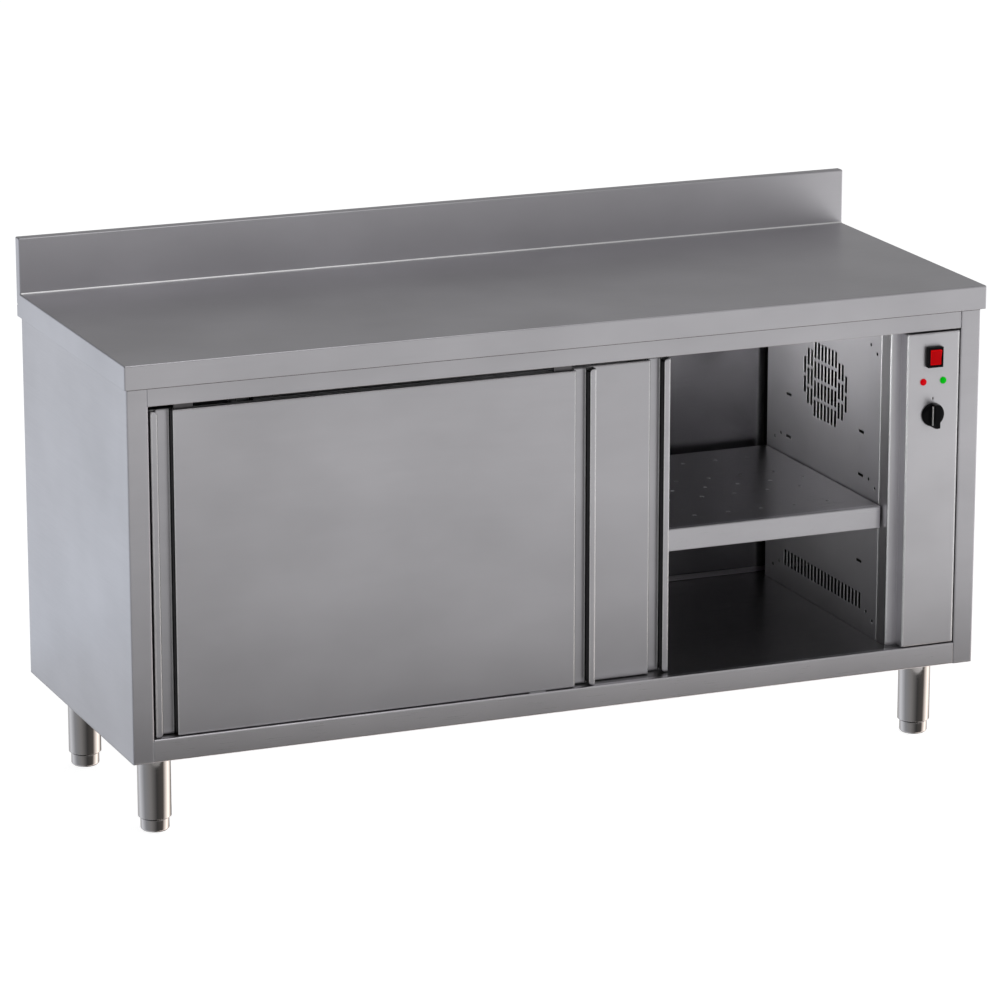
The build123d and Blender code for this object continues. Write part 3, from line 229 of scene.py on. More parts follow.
ROOM_PLAN = [
    (-0.12, lit(0.37, 0.28, 0.06, 0.10, 2.00, 0.06, 0.50, 0.95, right=WARM)),
    (0.05, lit(0.25, 0.10, 0.10, 0.62, 1.20, 0.40, 0.40, 0.33)),
    (0.35, lit(0.18, 0.10, 0.10, 0.58, 1.20, 0.40, 0.40, 0.29)),
    (0.85, lit(0.16, 0.15, 0.25, 0.45, 0.42, 0.20, 0.12, 0.16)),
]
FLOOR_PLAN = [
    (0.9, lit(0.75, 0.30, 0.50, 0.56, 1.80, 0.85, 0.90, 0.86)),
    (1.6, lit(0.78, 0.37, 0.58, 0.80, 1.80, 0.85, 0.84, 0.90)),
    (3.2, lit(0.78, 0.45, 0.85, 0.87, 1.40, 0.78, 0.72, 0.90)),
]
print("levels in the room", len(ROOM_PLAN), "and on the floor", len(FLOOR_PLAN))

# %% [markdown]
# ## The world
#
# The world holds the room. The camera itself should see plain white behind the cabinet, so the
# Light Path node gives white to camera rays and the room to every other ray.

# %% Build the world
def build_world():
    """The room that the steel reflects, and white for the camera."""
    world = bpy.data.worlds.new("studio")
    world.use_nodes = True
    nodes, links = world.node_tree.nodes, world.node_tree.links
    direction = nodes.new("ShaderNodeTexCoord").outputs["Generated"]
    height = split(nodes, links, direction)[Z]
    room = compass_plan(nodes, links, direction, height, ROOM_PLAN)
    seen = nodes.new("ShaderNodeLightPath").outputs["Is Camera Ray"]
    links.new(mixed(nodes, links, seen, room, WHITE), nodes["Background"].inputs["Color"])
    bpy.context.scene.world = world


build_world()
print("world:", bpy.context.scene.world.name)

# %% [markdown]
# ## The floor
#
# For the camera the floor is plain: a grey paint with a white glow, which looks white and still
# takes a faint shadow. The steel sees it laid out with cards, by the plan, except for a patch
# under and around the cabinet. There the floor is clear for reflected rays, so that the legs go
# on showing the room's lowest level right down to their feet. Real cards would do the same, but
# the camera would see them too.

# %% Keep a patch clear
PATCH_HALF = (1.50, 0.84)
PATCH_EDGE = 0.03


def outside_patch(nodes, links, place):
    """A mask that is 0 on a rectangle about the origin and 1 outside it."""
    shrunk = nodes.new("ShaderNodeMapping")
    shrunk.inputs["Scale"].default_value = (1 / PATCH_HALF[X], 1 / PATCH_HALF[Y], 1.0)
    links.new(place, shrunk.inputs["Vector"])
    sizes = sizes_of(nodes, links, shrunk.outputs["Vector"], (X, Y))
    furthest = measured(nodes, links, "MAXIMUM", *sizes)
    return ranged(nodes, links, furthest, 0.0, 1.0, 1.0 - PATCH_EDGE, 1.0 + PATCH_EDGE)


print("the patch is", [2 * half for half in PATCH_HALF], "m")

# %% Mix the floor's paint
FLOOR_GREY = (0.5, 0.5, 0.5)
FLOOR_ROUGHNESS = 0.9
FLOOR_GLOW = 0.9


def floor_paint():
    """Glowing paint for the camera, and cards round a clear patch for every other ray."""
    material = bpy.data.materials.new("floor_paint")
    material.use_nodes = True
    nodes, links = material.node_tree.nodes, material.node_tree.links
    paint = nodes["Principled BSDF"]
    paint.inputs["Base Color"].default_value = (*FLOOR_GREY, 1.0)
    paint.inputs["Roughness"].default_value = FLOOR_ROUGHNESS
    paint.inputs["Emission Color"].default_value = (*WHITE, 1.0)
    paint.inputs["Emission Strength"].default_value = FLOOR_GLOW
    place = nodes.new("ShaderNodeTexCoord").outputs["Object"]
    distance = nodes.new("ShaderNodeVectorMath")
    distance.operation = "LENGTH"
    links.new(place, distance.inputs[0])
    cards = nodes.new("ShaderNodeEmission")
    colours = compass_plan(nodes, links, place, distance.outputs["Value"], FLOOR_PLAN)
    links.new(colours, cards.inputs["Color"])
    clear = nodes.new("ShaderNodeBsdfTransparent").outputs["BSDF"]
    outside = outside_patch(nodes, links, place)
    laid = mixed_shaders(nodes, links, outside, clear, cards.outputs["Emission"])
    seen = nodes.new("ShaderNodeLightPath").outputs["Is Camera Ray"]
    surface = mixed_shaders(nodes, links, seen, laid, paint.outputs["BSDF"])
    links.new(surface, nodes["Material Output"].inputs["Surface"])
    return material


print("the floor glows with", FLOOR_GLOW)

# %% Lay the floor
FLOOR_HALF = 30.0


def build_floor():
    """A large flat square at the cabinet's feet."""
    mesh = bmesh.new()
    bmesh.ops.create_grid(mesh, x_segments=1, y_segments=1, size=FLOOR_HALF)
    data = bpy.data.meshes.new("studio_floor")
    mesh.to_mesh(data)
    mesh.free()
    data.materials.append(floor_paint())
    floor = bpy.data.objects.new("studio_floor", data)
    bpy.context.scene.collection.objects.link(floor)


build_floor()
print("floor", 2 * FLOOR_HALF, "m square")

# %% [markdown]
# ## Soft lamps
#
# The room gives the reflections. Lamps near the cabinet give what a far room can't: light that
# falls off from the top of a door to its foot, and that reaches in through the open doorway.
# Two small lamps stand inside the cupboard, one over the shelf and one under it. Each throws a
# beam at the right inner wall. The beam is narrow, so that it leaves no bright spot on the
# shelf.

# %% Lamps
def soft_lamp(name, place, aim, size, power, spread=180.0):
    """A rectangular lamp that looks at a point; a small spread keeps its light in a beam."""
    data = bpy.data.lights.new(name, "AREA")
    data.shape = "RECTANGLE"
    data.size, data.size_y = size
    data.energy = power
    data.spread = math.radians(spread)
    lamp = bpy.data.objects.new(name, data)
    lamp.location = place
    lamp.rotation_euler = (Vector(aim) - Vector(place)).to_track_quat("-Z", "Y").to_euler()
    lamp.visible_camera = False
    bpy.context.scene.collection.objects.link(lamp)


INSIDE_MIDDLE = -0.15
INSIDE_WALL = 0.64
INSIDE_LAMP_WIDTH = 0.42
INSIDE_SPREAD = 60.0
INSIDE_LAMPS = {"upper": (0.63, 0.28, 0.42), "lower": (0.31, 0.17, 0.09)}

soft_lamp("lamp_above", place=(-0.2, -1.6, 3.2), aim=(0.0, -0.2, 0.4), size=(2.6, 1.6), power=16.0)
for name, (height, tall, power) in INSIDE_LAMPS.items():
    place, aim = (INSIDE_MIDDLE, 0.0, height), (INSIDE_WALL, 0.0, height)
    soft_lamp(f"lamp_inside_{name}", place, aim, (INSIDE_LAMP_WIDTH, tall), power, INSIDE_SPREAD)

# %% [markdown]
# ## Brushed stainless steel
#
# Sheet for kitchens is ground with a belt, so it carries fine parallel scratches. Close up they
# are a bump about a hundredth of a millimetre deep. From further away they spread each
# reflection across the grain, so a highlight becomes a tall soft streak. Both are made here:
# stretched noise for the scratches and their uneven roughness, and anisotropy for the spread. A
# slow cloud of noise stands for the marks of handling and polishing.
#
# A folded edge is round, with a radius of a few millimetres, and it catches a thin bright line
# all the way along. That line is also painted on as a highlight, further down. In the imported
# sheets such a fold is a row of narrow flat facets, so the Bevel node smooths them, in the
# shading alone.
#
# The pattern reads Object coordinates, which are metres in the cabinet's own frame, so one
# function can dress any sheet. Only the direction of the grain changes.

# %% Helpers for a new material
def start_material(name, colour, roughness, metallic=0.0):
    """A new material with its shader's plain values set."""
    material = bpy.data.materials.new(name)
    material.use_nodes = True
    shader = material.node_tree.nodes["Principled BSDF"]
    shader.inputs["Base Color"].default_value = (*colour, 1.0)
    shader.inputs["Roughness"].default_value = roughness
    shader.inputs["Metallic"].default_value = metallic
    return material, material.node_tree.nodes, material.node_tree.links, shader


def noise_on(nodes, links, name, scale, detail=3.0):
    """Noise on Object coordinates, stretched by a scale for each axis."""
    coords = nodes.new("ShaderNodeTexCoord")
    mapping = nodes.new("ShaderNodeMapping")
    mapping.inputs["Scale"].default_value = scale
    links.new(coords.outputs["Object"], mapping.inputs["Vector"])
    noise = nodes.new("ShaderNodeTexNoise")
    noise.name = name
    noise.inputs["Scale"].default_value = 1.0
    noise.inputs["Detail"].default_value = detail
    links.new(mapping.outputs["Vector"], noise.inputs["Vector"])
    return noise.outputs["Fac"]


def clouded(nodes, links, clouds, colour, contrast):
    """A colour that noise makes a little darker here and lighter there."""
    dark = tuple(part * (1.0 - contrast) for part in colour)
    light = tuple(min(1.0, part * (1.0 + contrast)) for part in colour)
    return mixed(nodes, links, ranged(nodes, links, clouds, 0.0, 1.0), dark, light)


print("helpers:", start_material.__name__, noise_on.__name__, clouded.__name__)

# %% The helper for relief and rounded edges
RELIEF_STRENGTH = 0.5
ROUNDING_SAMPLES = 6


def relief(nodes, links, shader, height, depth, edge):
    """Bump from a value, over edges that the Bevel node rounds."""
    bump = nodes.new("ShaderNodeBump")
    bump.inputs["Strength"].default_value = RELIEF_STRENGTH
    bump.inputs["Distance"].default_value = depth
    links.new(height, bump.inputs["Height"])
    links.new(bump.outputs["Normal"], shader.inputs["Normal"])
    if edge > 0.0:
        rounded = nodes.new("ShaderNodeBevel")
        rounded.name = "rounded edge"
        rounded.samples = ROUNDING_SAMPLES
        rounded.inputs["Radius"].default_value = edge
        links.new(rounded.outputs["Normal"], bump.inputs["Normal"])


print("each rounded edge takes", ROUNDING_SAMPLES, "samples")

# %% [markdown]
# ## Folds and faces of another tone
#
# A sheet's upright folds get a painted highlight, and a cut edge or the inside of a channel a
# painted shade. Such a part could be cut off and given a material, but the sheet isn't to be
# changed. So it gets a mask: a number that is 1 on the part and 0 elsewhere. A fold is found by
# the rounded normal, which points at neither wall there. A face is found by its true normal,
# and both by their place along an axis.

# %% Masks on a sheet
TURNED_FROM_WALLS = (0.90, 0.985)
STILL_UPRIGHT = (0.05, 0.25)
LOOKS_ALONG = (0.35, 0.50)


def between(nodes, links, axis, low, high):
    """A mask that is 1 between two places along an axis."""
    coords = nodes.new("ShaderNodeTexCoord")
    where = split(nodes, links, coords.outputs["Object"])[axis]
    after = measured(nodes, links, "GREATER_THAN", where, low)
    before = measured(nodes, links, "LESS_THAN", where, high)
    return measured(nodes, links, "MULTIPLY", after, before)


def upright_folds(nodes, links, reach):
    """A mask that is 1 on rounded upright folds, within each (axis, low, high) of the reach."""
    normal = nodes["rounded edge"].outputs["Normal"]
    along_x, along_y, along_z = sizes_of(nodes, links, normal, (X, Y, Z))
    widest = measured(nodes, links, "MAXIMUM", along_x, along_y)
    turned = ranged(nodes, links, widest, 1.0, 0.0, *TURNED_FROM_WALLS)
    upright = ranged(nodes, links, along_z, 1.0, 0.0, *STILL_UPRIGHT)
    mask = measured(nodes, links, "MULTIPLY", turned, upright)
    for axis, low, high in reach:
        mask = measured(nodes, links, "MULTIPLY", mask, between(nodes, links, axis, low, high))
    return mask


def chosen_faces(nodes, links, facing, along, axis, low, high):
    """A mask that is 1 on faces that look along an axis, or aside from it, between two places."""
    face = nodes.new("ShaderNodeNewGeometry")
    size = sizes_of(nodes, links, face.outputs["True Normal"], (facing,))[0]
    looks = ranged(nodes, links, size, float(not along), float(along), *LOOKS_ALONG)
    return measured(nodes, links, "MULTIPLY", looks, between(nodes, links, axis, low, high))


print("a face looks along an axis from", LOOKS_ALONG)

# %% [markdown]
# ## One function for every sheet
#
# Each sheet is the same steel with its own tone, gloss and grain, so one function makes them
# all. The grain is a stretch of the noise: a dozen cells per metre along the scratches and over
# a thousand across them. The shader's tangent points across the grain, so that the spread
# follows it.

# %% The steel function
ALONG_GRAIN = 12.0
ACROSS_GRAIN = 1400.0
GRAINS = {
    "X": ((ALONG_GRAIN, ACROSS_GRAIN, ACROSS_GRAIN), Vector((0.0, 1.0, 1.0))),
    "round": ((ALONG_GRAIN, ALONG_GRAIN, ACROSS_GRAIN), Vector((0.0, 0.0, 1.0))),
    "Z": ((ACROSS_GRAIN, ACROSS_GRAIN, ALONG_GRAIN), Vector((1.0, 1.0, 0.0))),
}
HANDLING_CLOUDS = (4.0, 4.0, 6.0)
SCRATCH_DEPTH = 0.00001
SCRATCH_GLOSS = (-0.03, 0.05)
CUT_SHADE = (0.022, 0.021, 0.023)


def brushed_steel(
    name, colour, roughness, grain, anisotropy=0.5, contrast=0.06, edge=0.0016,
    painted_fold_highlight=0.0, reach=(), faces=None, tone=CUT_SHADE,
):
    """Stainless sheet; painted_fold_highlight is a painted highlight on its folds, tone a painted shade
    or light on chosen faces.
    """
    material, nodes, links, shader = start_material(name, colour, roughness, metallic=1.0)
    stretch, streak = GRAINS[grain]
    scratches = noise_on(nodes, links, "scratches", stretch)
    clouds = noise_on(nodes, links, "handling clouds", HANDLING_CLOUDS)
    smoother, rougher = (roughness + change for change in SCRATCH_GLOSS)
    links.new(ranged(nodes, links, scratches, smoother, rougher), shader.inputs["Roughness"])
    relief(nodes, links, shader, scratches, SCRATCH_DEPTH, edge)
    sheet = clouded(nodes, links, clouds, colour, contrast)
    # The folds' brightness is a painted highlight, and the chosen faces' tone is painted shade or
    # painted light.
    if painted_fold_highlight > 0.0:
        sheet = mixed(nodes, links, upright_folds(nodes, links, reach), sheet, (painted_fold_highlight, painted_fold_highlight, painted_fold_highlight))
    if faces:
        sheet = mixed(nodes, links, chosen_faces(nodes, links, *faces), sheet, tone)
    links.new(sheet, shader.inputs["Base Color"])
    shader.inputs["Anisotropic"].default_value = anisotropy
    across = nodes.new("ShaderNodeCombineXYZ")
    for socket, value in zip(across.inputs, streak.normalized()):
        socket.default_value = value
    links.new(across.outputs["Vector"], shader.inputs["Tangent"])
    return material


print("grains", sorted(GRAINS))

# %% [markdown]
# ## Dressing a part
#
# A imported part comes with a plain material. It could be given a second one beside it, but only
# the one that its faces use shows. So the old one is taken off and the new one put in its place.

# %% The helper that dresses a part
def dress(material, *names):
    """Give CAD nodes a finish in place of their packed material."""
    for name in names:
        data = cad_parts[name].data
        data.materials.clear()
        data.materials.append(material)


print("parts to dress", len(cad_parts))

# %% [markdown]
# ## The steels of the cabinet
#
# The outside is satin. The inside is smoother, and its steel is painted darker, as painted shade
# inside the cupboard. A narrow strip of the outside gets a painted shadow of the worktop's apron.
# The side panels' upright folds get their painted highlight only on the side of the doorway,
# between the floor pan and the top rail.

# %% Steels
SATIN = 0.36
STEEL = (0.56, 0.55, 0.575)
PANEL_STEEL = (0.63, 0.62, 0.645)
# The inner steel is painted darker than the outside, as painted shade inside the cupboard.
INNER_STEEL = (0.38, 0.375, 0.39)
PLAIN_STEEL = (0.52, 0.52, 0.53)
# Near black: painted shade for the parts behind the grilles.
PAINTED_SHADE_STEEL = (0.03, 0.03, 0.032)
TUBE_STEEL = (0.60, 0.57, 0.56)
# Folded sheets get a painted highlight along their upright folds.
FOLDED = {"edge": 0.0042, "painted_fold_highlight": 0.97}
APRON_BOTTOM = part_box("worktop")[0].z
SEAM_BELOW = 0.0034
SEAM_ABOVE = 0.002
APRON_SHADOW = {
    "faces": (X, False, Z, APRON_BOTTOM - SEAM_BELOW, APRON_BOTTOM + SEAM_ABOVE),
    "tone": (0.13, 0.12, 0.125),
}
DOORWAY_HALF = 0.745
SILL_RISE = 0.042
DOORWAY = (
    (X, -DOORWAY_HALF, DOORWAY_HALF),
    (Z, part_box("floor_pan")[0].z + SILL_RISE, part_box("top_rail")[0].z),
)

steel_front = brushed_steel("steel_front", STEEL, SATIN, "X", **APRON_SHADOW)
steel_fold = brushed_steel("steel_fold", PANEL_STEEL, SATIN, "X", **FOLDED)
steel_side = brushed_steel("steel_side", STEEL, SATIN, "round", reach=DOORWAY, **FOLDED, **APRON_SHADOW)
steel_inside = brushed_steel("steel_inside", INNER_STEEL, 0.22, "X", anisotropy=0.3)
steel_plain = brushed_steel("steel_plain", PLAIN_STEEL, 0.42, "X", anisotropy=0.2)
steel_painted_shade = brushed_steel("steel_painted_shade", PAINTED_SHADE_STEEL, 0.50, "X", anisotropy=0.2)
steel_tube = brushed_steel(
    "steel_tube", TUBE_STEEL, 0.08, "round", anisotropy=0.0, contrast=0.02, edge=0.0008,
)
print("steels", [m.name for m in bpy.data.materials if m.name.startswith("steel")])

# %% [markdown]
# ## The plain sheets
#
# Most sheets need no steel of their own, so they share a few. What stands in the light is satin,
# the ceiling and the back of the cupboard are the darker inner steel, and ribs, rails, liners and
# the outer back and base are plain. The fan and the baffle behind the panels are painted almost
# black, as painted shade.

# %% Dress the sheets
dress(steel_front, "top_rail")
dress(steel_fold, "control_panel")
dress(steel_side, "side_panel_left", "side_panel_right")
dress(steel_inside, "ceiling_panel", "back_wall")
dress(steel_plain, "front_door_liner", "rear_door_liner", "back_panel", "base_panel")
dress(steel_plain, "leg_rail_left", "leg_rail_right", "floor_ribs", "worktop_ribs")
dress(steel_plain, "shelf_rib", "shelf_supports", "bottom_guide")
dress(steel_painted_shade, "fan_plate", "control_baffle", "fan_impeller")
print("plain sheets dressed")

# %% [markdown]
# ## Doors, inner walls and post
#
# A door has a grip channel down each edge. The channel's flanks, a lip's width or more inside
# the door's edges, are painted almost black, a painted shade where they face each other. So are
# the cut edges of the inner walls. The post's flank is painted paler than its face instead, a
# painted light for the bright side of the room that it looks at. The steel function takes those
# faces and their tone.

# %% Dress the folded channels
CHANNEL_LIP = 0.006
# The post's flank is painted paler, as painted light; channel flanks and cut edges are painted near
# black, as painted shade.
PAINTED_POST_LIGHT = (0.78, 0.77, 0.79)

for door in ("front_door", "rear_door"):
    low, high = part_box(door + "_skin")
    flanks = (X, True, X, low.x + CHANNEL_LIP, high.x - CHANNEL_LIP)
    finish = brushed_steel("steel_" + door, STEEL, SATIN, "X", faces=flanks, **FOLDED)
    dress(finish, door + "_skin")
for side in ("left", "right"):
    low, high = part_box("inner_wall_" + side)
    cuts = (X, False, Y, low.y + CHANNEL_LIP, high.y - CHANNEL_LIP)
    finish = brushed_steel("steel_wall_" + side, STEEL, 0.42, "Z", 0.8, faces=cuts, **FOLDED)
    dress(finish, "inner_wall_" + side)
low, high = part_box("door_post")
flank = (X, True, Y, low.y + CHANNEL_LIP, high.y)
finish = brushed_steel("steel_post", STEEL, 0.34, "Z", 0.6, faces=flank, tone=PAINTED_POST_LIGHT, **FOLDED)
dress(finish, "door_post")
print("channels dressed, lip", CHANNEL_LIP * 1000, "mm")

# %% [markdown]
# ## Worktop, shelf and floor pan
#
# The worktop turns up at the back. Its two brushed faces meet there in a small cove, which gets a
# painted highlight and shows as a bright line. The shelf and the floor pan get a painted shade
# on top, behind their front folds, for the dark inside of the cupboard that they reflect. The
# floor pan's steel is also painted lighter, as painted light on its front.

# %% Dress the worktop and the shelves
UPSTAND_THICKNESS = 0.020
COVE_RADIUS = 0.0026
HAIR = 0.0001
# The cove's near white is a painted highlight.
PAINTED_COVE_HIGHLIGHT = (0.97, 0.97, 0.97)
# The dark tops of the shelf and the floor pan are painted shade.
PAINTED_TOP_SHADE = (0.30, 0.295, 0.305)
# The floor pan's lighter steel is painted light on its front.
SHELF_STEELS = {"shelf": STEEL, "floor_pan": (0.66, 0.645, 0.67)}

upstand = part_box("worktop")[1].y - UPSTAND_THICKNESS
cove = (X, False, Y, upstand - COVE_RADIUS, upstand - HAIR)
dress(brushed_steel("steel_worktop", STEEL, SATIN, "X", faces=cove, tone=PAINTED_COVE_HIGHLIGHT), "worktop")
for sheet, colour in SHELF_STEELS.items():
    low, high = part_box(sheet)
    tops = (Z, True, Y, low.y + 2 * CHANNEL_LIP, high.y)
    dress(brushed_steel("steel_" + sheet, colour, 0.30, "X", 0.3, faces=tops, tone=PAINTED_TOP_SHADE), sheet)
print("the cove is in front of y", round(upstand, 4))

# %% [markdown]
# ## Plastics, rubber, paint and the other finishes
#
# Moulded plastic isn't a flat colour. Its skin is slightly pebbled, its gloss is uneven, and its
# edges are rounded. Painted, cast and fibrous parts differ from it in the size and depth of
# that relief. One function makes them all from a few numbers: the roughness, the number of
# pebbles in a metre and their depth in metres.

# %% The function for everything that isn't brushed
WEAR_CLOUDS = (30.0, 30.0, 30.0)
PEBBLE_GLOSS = (-0.04, 0.06)


def surfaced(name, colour, roughness, grain, depth, contrast=0.1, metallic=0.0, edge=0.0004, shine=0.5):
    """A finish with fine relief, uneven gloss and faint clouds; grain is noise cells per metre."""
    material, nodes, links, shader = start_material(name, colour, roughness, metallic)
    pebbles = noise_on(nodes, links, "pebbles", (grain, grain, grain))
    clouds = noise_on(nodes, links, "wear", WEAR_CLOUDS, detail=2.0)
    smoother, rougher = (roughness + change for change in PEBBLE_GLOSS)
    links.new(ranged(nodes, links, pebbles, smoother, rougher), shader.inputs["Roughness"])
    links.new(clouded(nodes, links, clouds, colour, contrast), shader.inputs["Base Color"])
    relief(nodes, links, shader, pebbles, depth, edge)
    shader.inputs["Specular IOR Level"].default_value = shine
    return material


def glowing(material, colour, strength):
    """Add a steady glow, for plastic that the light behind it shines through."""
    shader = material.node_tree.nodes["Principled BSDF"]
    shader.inputs["Emission Color"].default_value = (*colour, 1.0)
    shader.inputs["Emission Strength"].default_value = strength
    return material


print("pebbled finishes: gloss changes by", PEBBLE_GLOSS)

# %% [markdown]
# The rocker and the two lenses are lit from behind. A lamp could be put into each, but a small
# lamp behind a lens is slow to render and noisy. A steady glow of their own looks the same.

# %% Plastics, rubber and glass
black_plastic = surfaced("black_plastic", (0.006, 0.006, 0.007), 0.34, 2500.0, 0.00002, shine=0.04)
knob_black = surfaced("knob_black", (0.005, 0.005, 0.006), 0.20, 1800.0, 0.00001, shine=0.06)
index_black = surfaced("index_black", (0.006, 0.006, 0.006), 0.5, 900.0, 0.00001)
rubber = surfaced("rubber", (0.020, 0.020, 0.020), 0.70, 900.0, 0.00008)
nylon = surfaced("nylon", (0.78, 0.77, 0.72), 0.42, 1200.0, 0.00002)
rocker_red = surfaced("rocker_red", (0.62, 0.0, 0.001), 0.34, 1500.0, 0.00001, shine=0.03)
red_glass = surfaced("red_glass", (0.55, 0.0, 0.004), 0.16, 500.0, 0.00001, shine=0.08)
green_glass = surfaced("green_glass", (0.0, 0.42, 0.008), 0.16, 500.0, 0.00001, shine=0.08)
glowing(rocker_red, (1.0, 0.0, 0.0), 0.40)
glowing(red_glass, (1.0, 0.0, 0.006), 0.30)
glowing(green_glass, (0.0, 1.0, 0.01), 0.26)
print("lit from within:", rocker_red.name, red_glass.name, green_glass.name)

# %% [markdown]
# The metals that aren't brushed are cast, drawn or plated. Most have a coarser relief than
# plastic, and none has a grain. Wool is the roughest of all, and it has no edge to round.

# %% Metals, paint, ceramic and wool
silver = surfaced("silver", (0.86, 0.84, 0.82), 0.50, 2000.0, 0.00001, metallic=0.6, edge=0.0002)
aluminium = surfaced("aluminium", (0.66, 0.67, 0.68), 0.40, 700.0, 0.00003, metallic=1.0)
zinc = surfaced("zinc", (0.60, 0.61, 0.60), 0.36, 300.0, 0.00003, 0.16, metallic=1.0)
# The hangers' zinc is painted dark, as painted shade in the gap above the doors.
zinc_painted_shade = surfaced("zinc_painted_shade", (0.13, 0.125, 0.13), 0.40, 300.0, 0.00003, 0.16, metallic=1.0)
motor_paint = surfaced("motor_paint", (0.10, 0.11, 0.12), 0.46, 500.0, 0.00006)
thermostat_case = surfaced("thermostat_case", (0.30, 0.31, 0.32), 0.44, 900.0, 0.00003)
sheath = surfaced("sheath", (0.24, 0.20, 0.17), 0.40, 260.0, 0.00005, 0.30, metallic=1.0)
ceramic = surfaced("ceramic", (0.72, 0.66, 0.52), 0.50, 700.0, 0.00004)
wool = surfaced("wool", (0.060, 0.055, 0.045), 0.95, 420.0, 0.0012, 0.35, edge=0.0)
print("finishes so far", len(bpy.data.materials))

# %% [markdown]
# ## The small parts
#
# Screws, wheels, hangers and the parts behind the control panel are small or hidden, so they
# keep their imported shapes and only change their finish.

# %% Dress the small CAD parts
dress(black_plastic, "switch_housing", "leg_inserts", "cable_gland")
dress(rubber, "door_stops")
dress(nylon, *(f"{door}_door_wheels_{end}" for door in ("front", "rear") for end in ("left", "right")))
dress(aluminium, "door_track")
dress(zinc, "panel_screws", "element_clips")
dress(zinc_painted_shade, "front_door_hangers", "rear_door_hangers")
dress(motor_paint, "fan_motor")
dress(thermostat_case, "thermostat")
dress(sheath, "heating_element")
dress(ceramic, "terminal_block")
dress(wool, "insulation")
print("finishes", len(bpy.data.materials), "on", len(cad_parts), "CAD nodes")

# %% [markdown]
# ## Turned pieces
#
# Legs, feet, lamps and the knob's skirt are turned: a half profile spun about an axis. The
# profile is drawn from its few corners and spun with the ends merged. On the steel pieces and
# the skirt every sharp ring is then bevelled, because a worked edge is always broken a little.
# The lamps are rounded by their profile alone.

# %% Helpers for turned pieces
TURN_STEPS = 96
EDGE_SEGMENTS = 3
MERGE_DISTANCE = 1e-7


def spun(corners):
    """A solid of revolution about Z from the (radius, height) corners of half a profile."""
    mesh = bmesh.new()
    ring = [mesh.verts.new((radius, 0.0, height)) for radius, height in corners]
    line = [mesh.edges.new(pair) for pair in zip(ring, ring[1:])]
    bmesh.ops.spin(
        mesh, geom=ring + line, cent=(0, 0, 0), axis=(0, 0, 1), dvec=(0, 0, 0),
        angle=math.tau, steps=TURN_STEPS, use_merge=True, use_duplicate=False,
    )
    bmesh.ops.remove_doubles(mesh, verts=mesh.verts, dist=MERGE_DISTANCE)
    bmesh.ops.recalc_face_normals(mesh, faces=mesh.faces)
    return mesh


def soften(mesh, width, sharper=35.0):
    """Bevel each edge that is sharper than an angle in degrees."""
    limit = math.radians(sharper)
    edges = [edge for edge in mesh.edges if edge.is_manifold and edge.calc_face_angle() > limit]
    bmesh.ops.bevel(
        mesh, geom=edges, offset=width, offset_type="OFFSET", segments=EDGE_SEGMENTS, profile=0.5,
        affect="EDGES", material=-1, clamp_overlap=True,
    )


print("a turned piece has", TURN_STEPS, "steps round")

# %% [markdown]
# A mesh becomes a piece when it has a name, a finish and a body to ride on. Its flat faces are
# shaded smooth, and only edges past an angle stay sharp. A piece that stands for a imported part
# replaces it.

# %% Helpers that finish and place a piece
def piece(mesh, name, body, material, replaced=(), smooth=40.0):
    """Turn a bmesh into an object that rides on a body."""
    bmesh.ops.recalc_face_normals(mesh, faces=mesh.faces)
    data = bpy.data.meshes.new(name)
    mesh.to_mesh(data)
    mesh.free()
    data.polygons.foreach_set("use_smooth", [True] * len(data.polygons))
    data.set_sharp_from_angle(angle=math.radians(smooth))
    data.materials.append(material)
    made = bpy.data.objects.new(name, data)
    bpy.context.scene.collection.objects.link(made)
    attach(made, body)
    if replaced:
        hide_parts(*replaced)
    print("made", name, "with", len(data.polygons), "faces")


def centre_of(node):
    """The middle of a node's box, with the box."""
    low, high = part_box(node)
    return (low + high) / 2, low, high


print("the panel's middle is at", [round(v, 3) for v in centre_of("control_panel")[0]])

# %% [markdown]
# ## Legs and feet
#
# Each leg is a polished tube. A round foot screws up into it to level the cabinet. The tube's
# mouth hangs a little over the foot, which slides inside it without touching. A groove round
# the top of the foot gives the dark line under the tube. The tube is smooth enough to show the
# room in upright bands: cool on the left, dark in the middle and a warm bright band on the
# right. Leg and foot are solids of revolution, so both are spun from a half profile.

# %% The leg's tube
MAIN_BODY = "cabinet"
BODY_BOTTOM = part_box("base_panel")[0].z
TUBE_WALL = 0.0015
TUBE_LIP = 0.005
STUD_RADIUS = 0.005


def stand_at(mesh, middle):
    """Move an upright piece sideways to its place on the floor plan."""
    bmesh.ops.translate(mesh, verts=mesh.verts, vec=(middle.x, middle.y, 0.0))


def make_leg(corner):
    """A tube with a stud at its top and an open mouth at its foot."""
    middle, low, high = centre_of(f"leg_{corner}")
    radius = (high.x - low.x) / 2
    mouth, crown = low.z - TUBE_LIP, BODY_BOTTOM - 2 * TUBE_WALL
    leg = spun([
        (0.0, high.z), (STUD_RADIUS, high.z), (STUD_RADIUS, BODY_BOTTOM), (radius, BODY_BOTTOM),
        (radius, mouth), (radius - TUBE_WALL, mouth), (radius - TUBE_WALL, crown), (0.0, crown),
    ])
    soften(leg, TUBE_WALL / 3)
    stand_at(leg, middle)
    piece(leg, f"tube_{corner}", MAIN_BODY, steel_tube, [f"leg_{corner}"])


print("the tube's wall is", TUBE_WALL * 1000, "mm")

# %% The levelling foot
FOOT_HEIGHT = 0.025
FOOT_STEM_RADIUS = 0.008
FOOT_CHAMFER = 0.0035
FOOT_EDGE = 0.0009
GROOVE_DEPTH = 0.002
GROOVE_FLOOR = 0.023


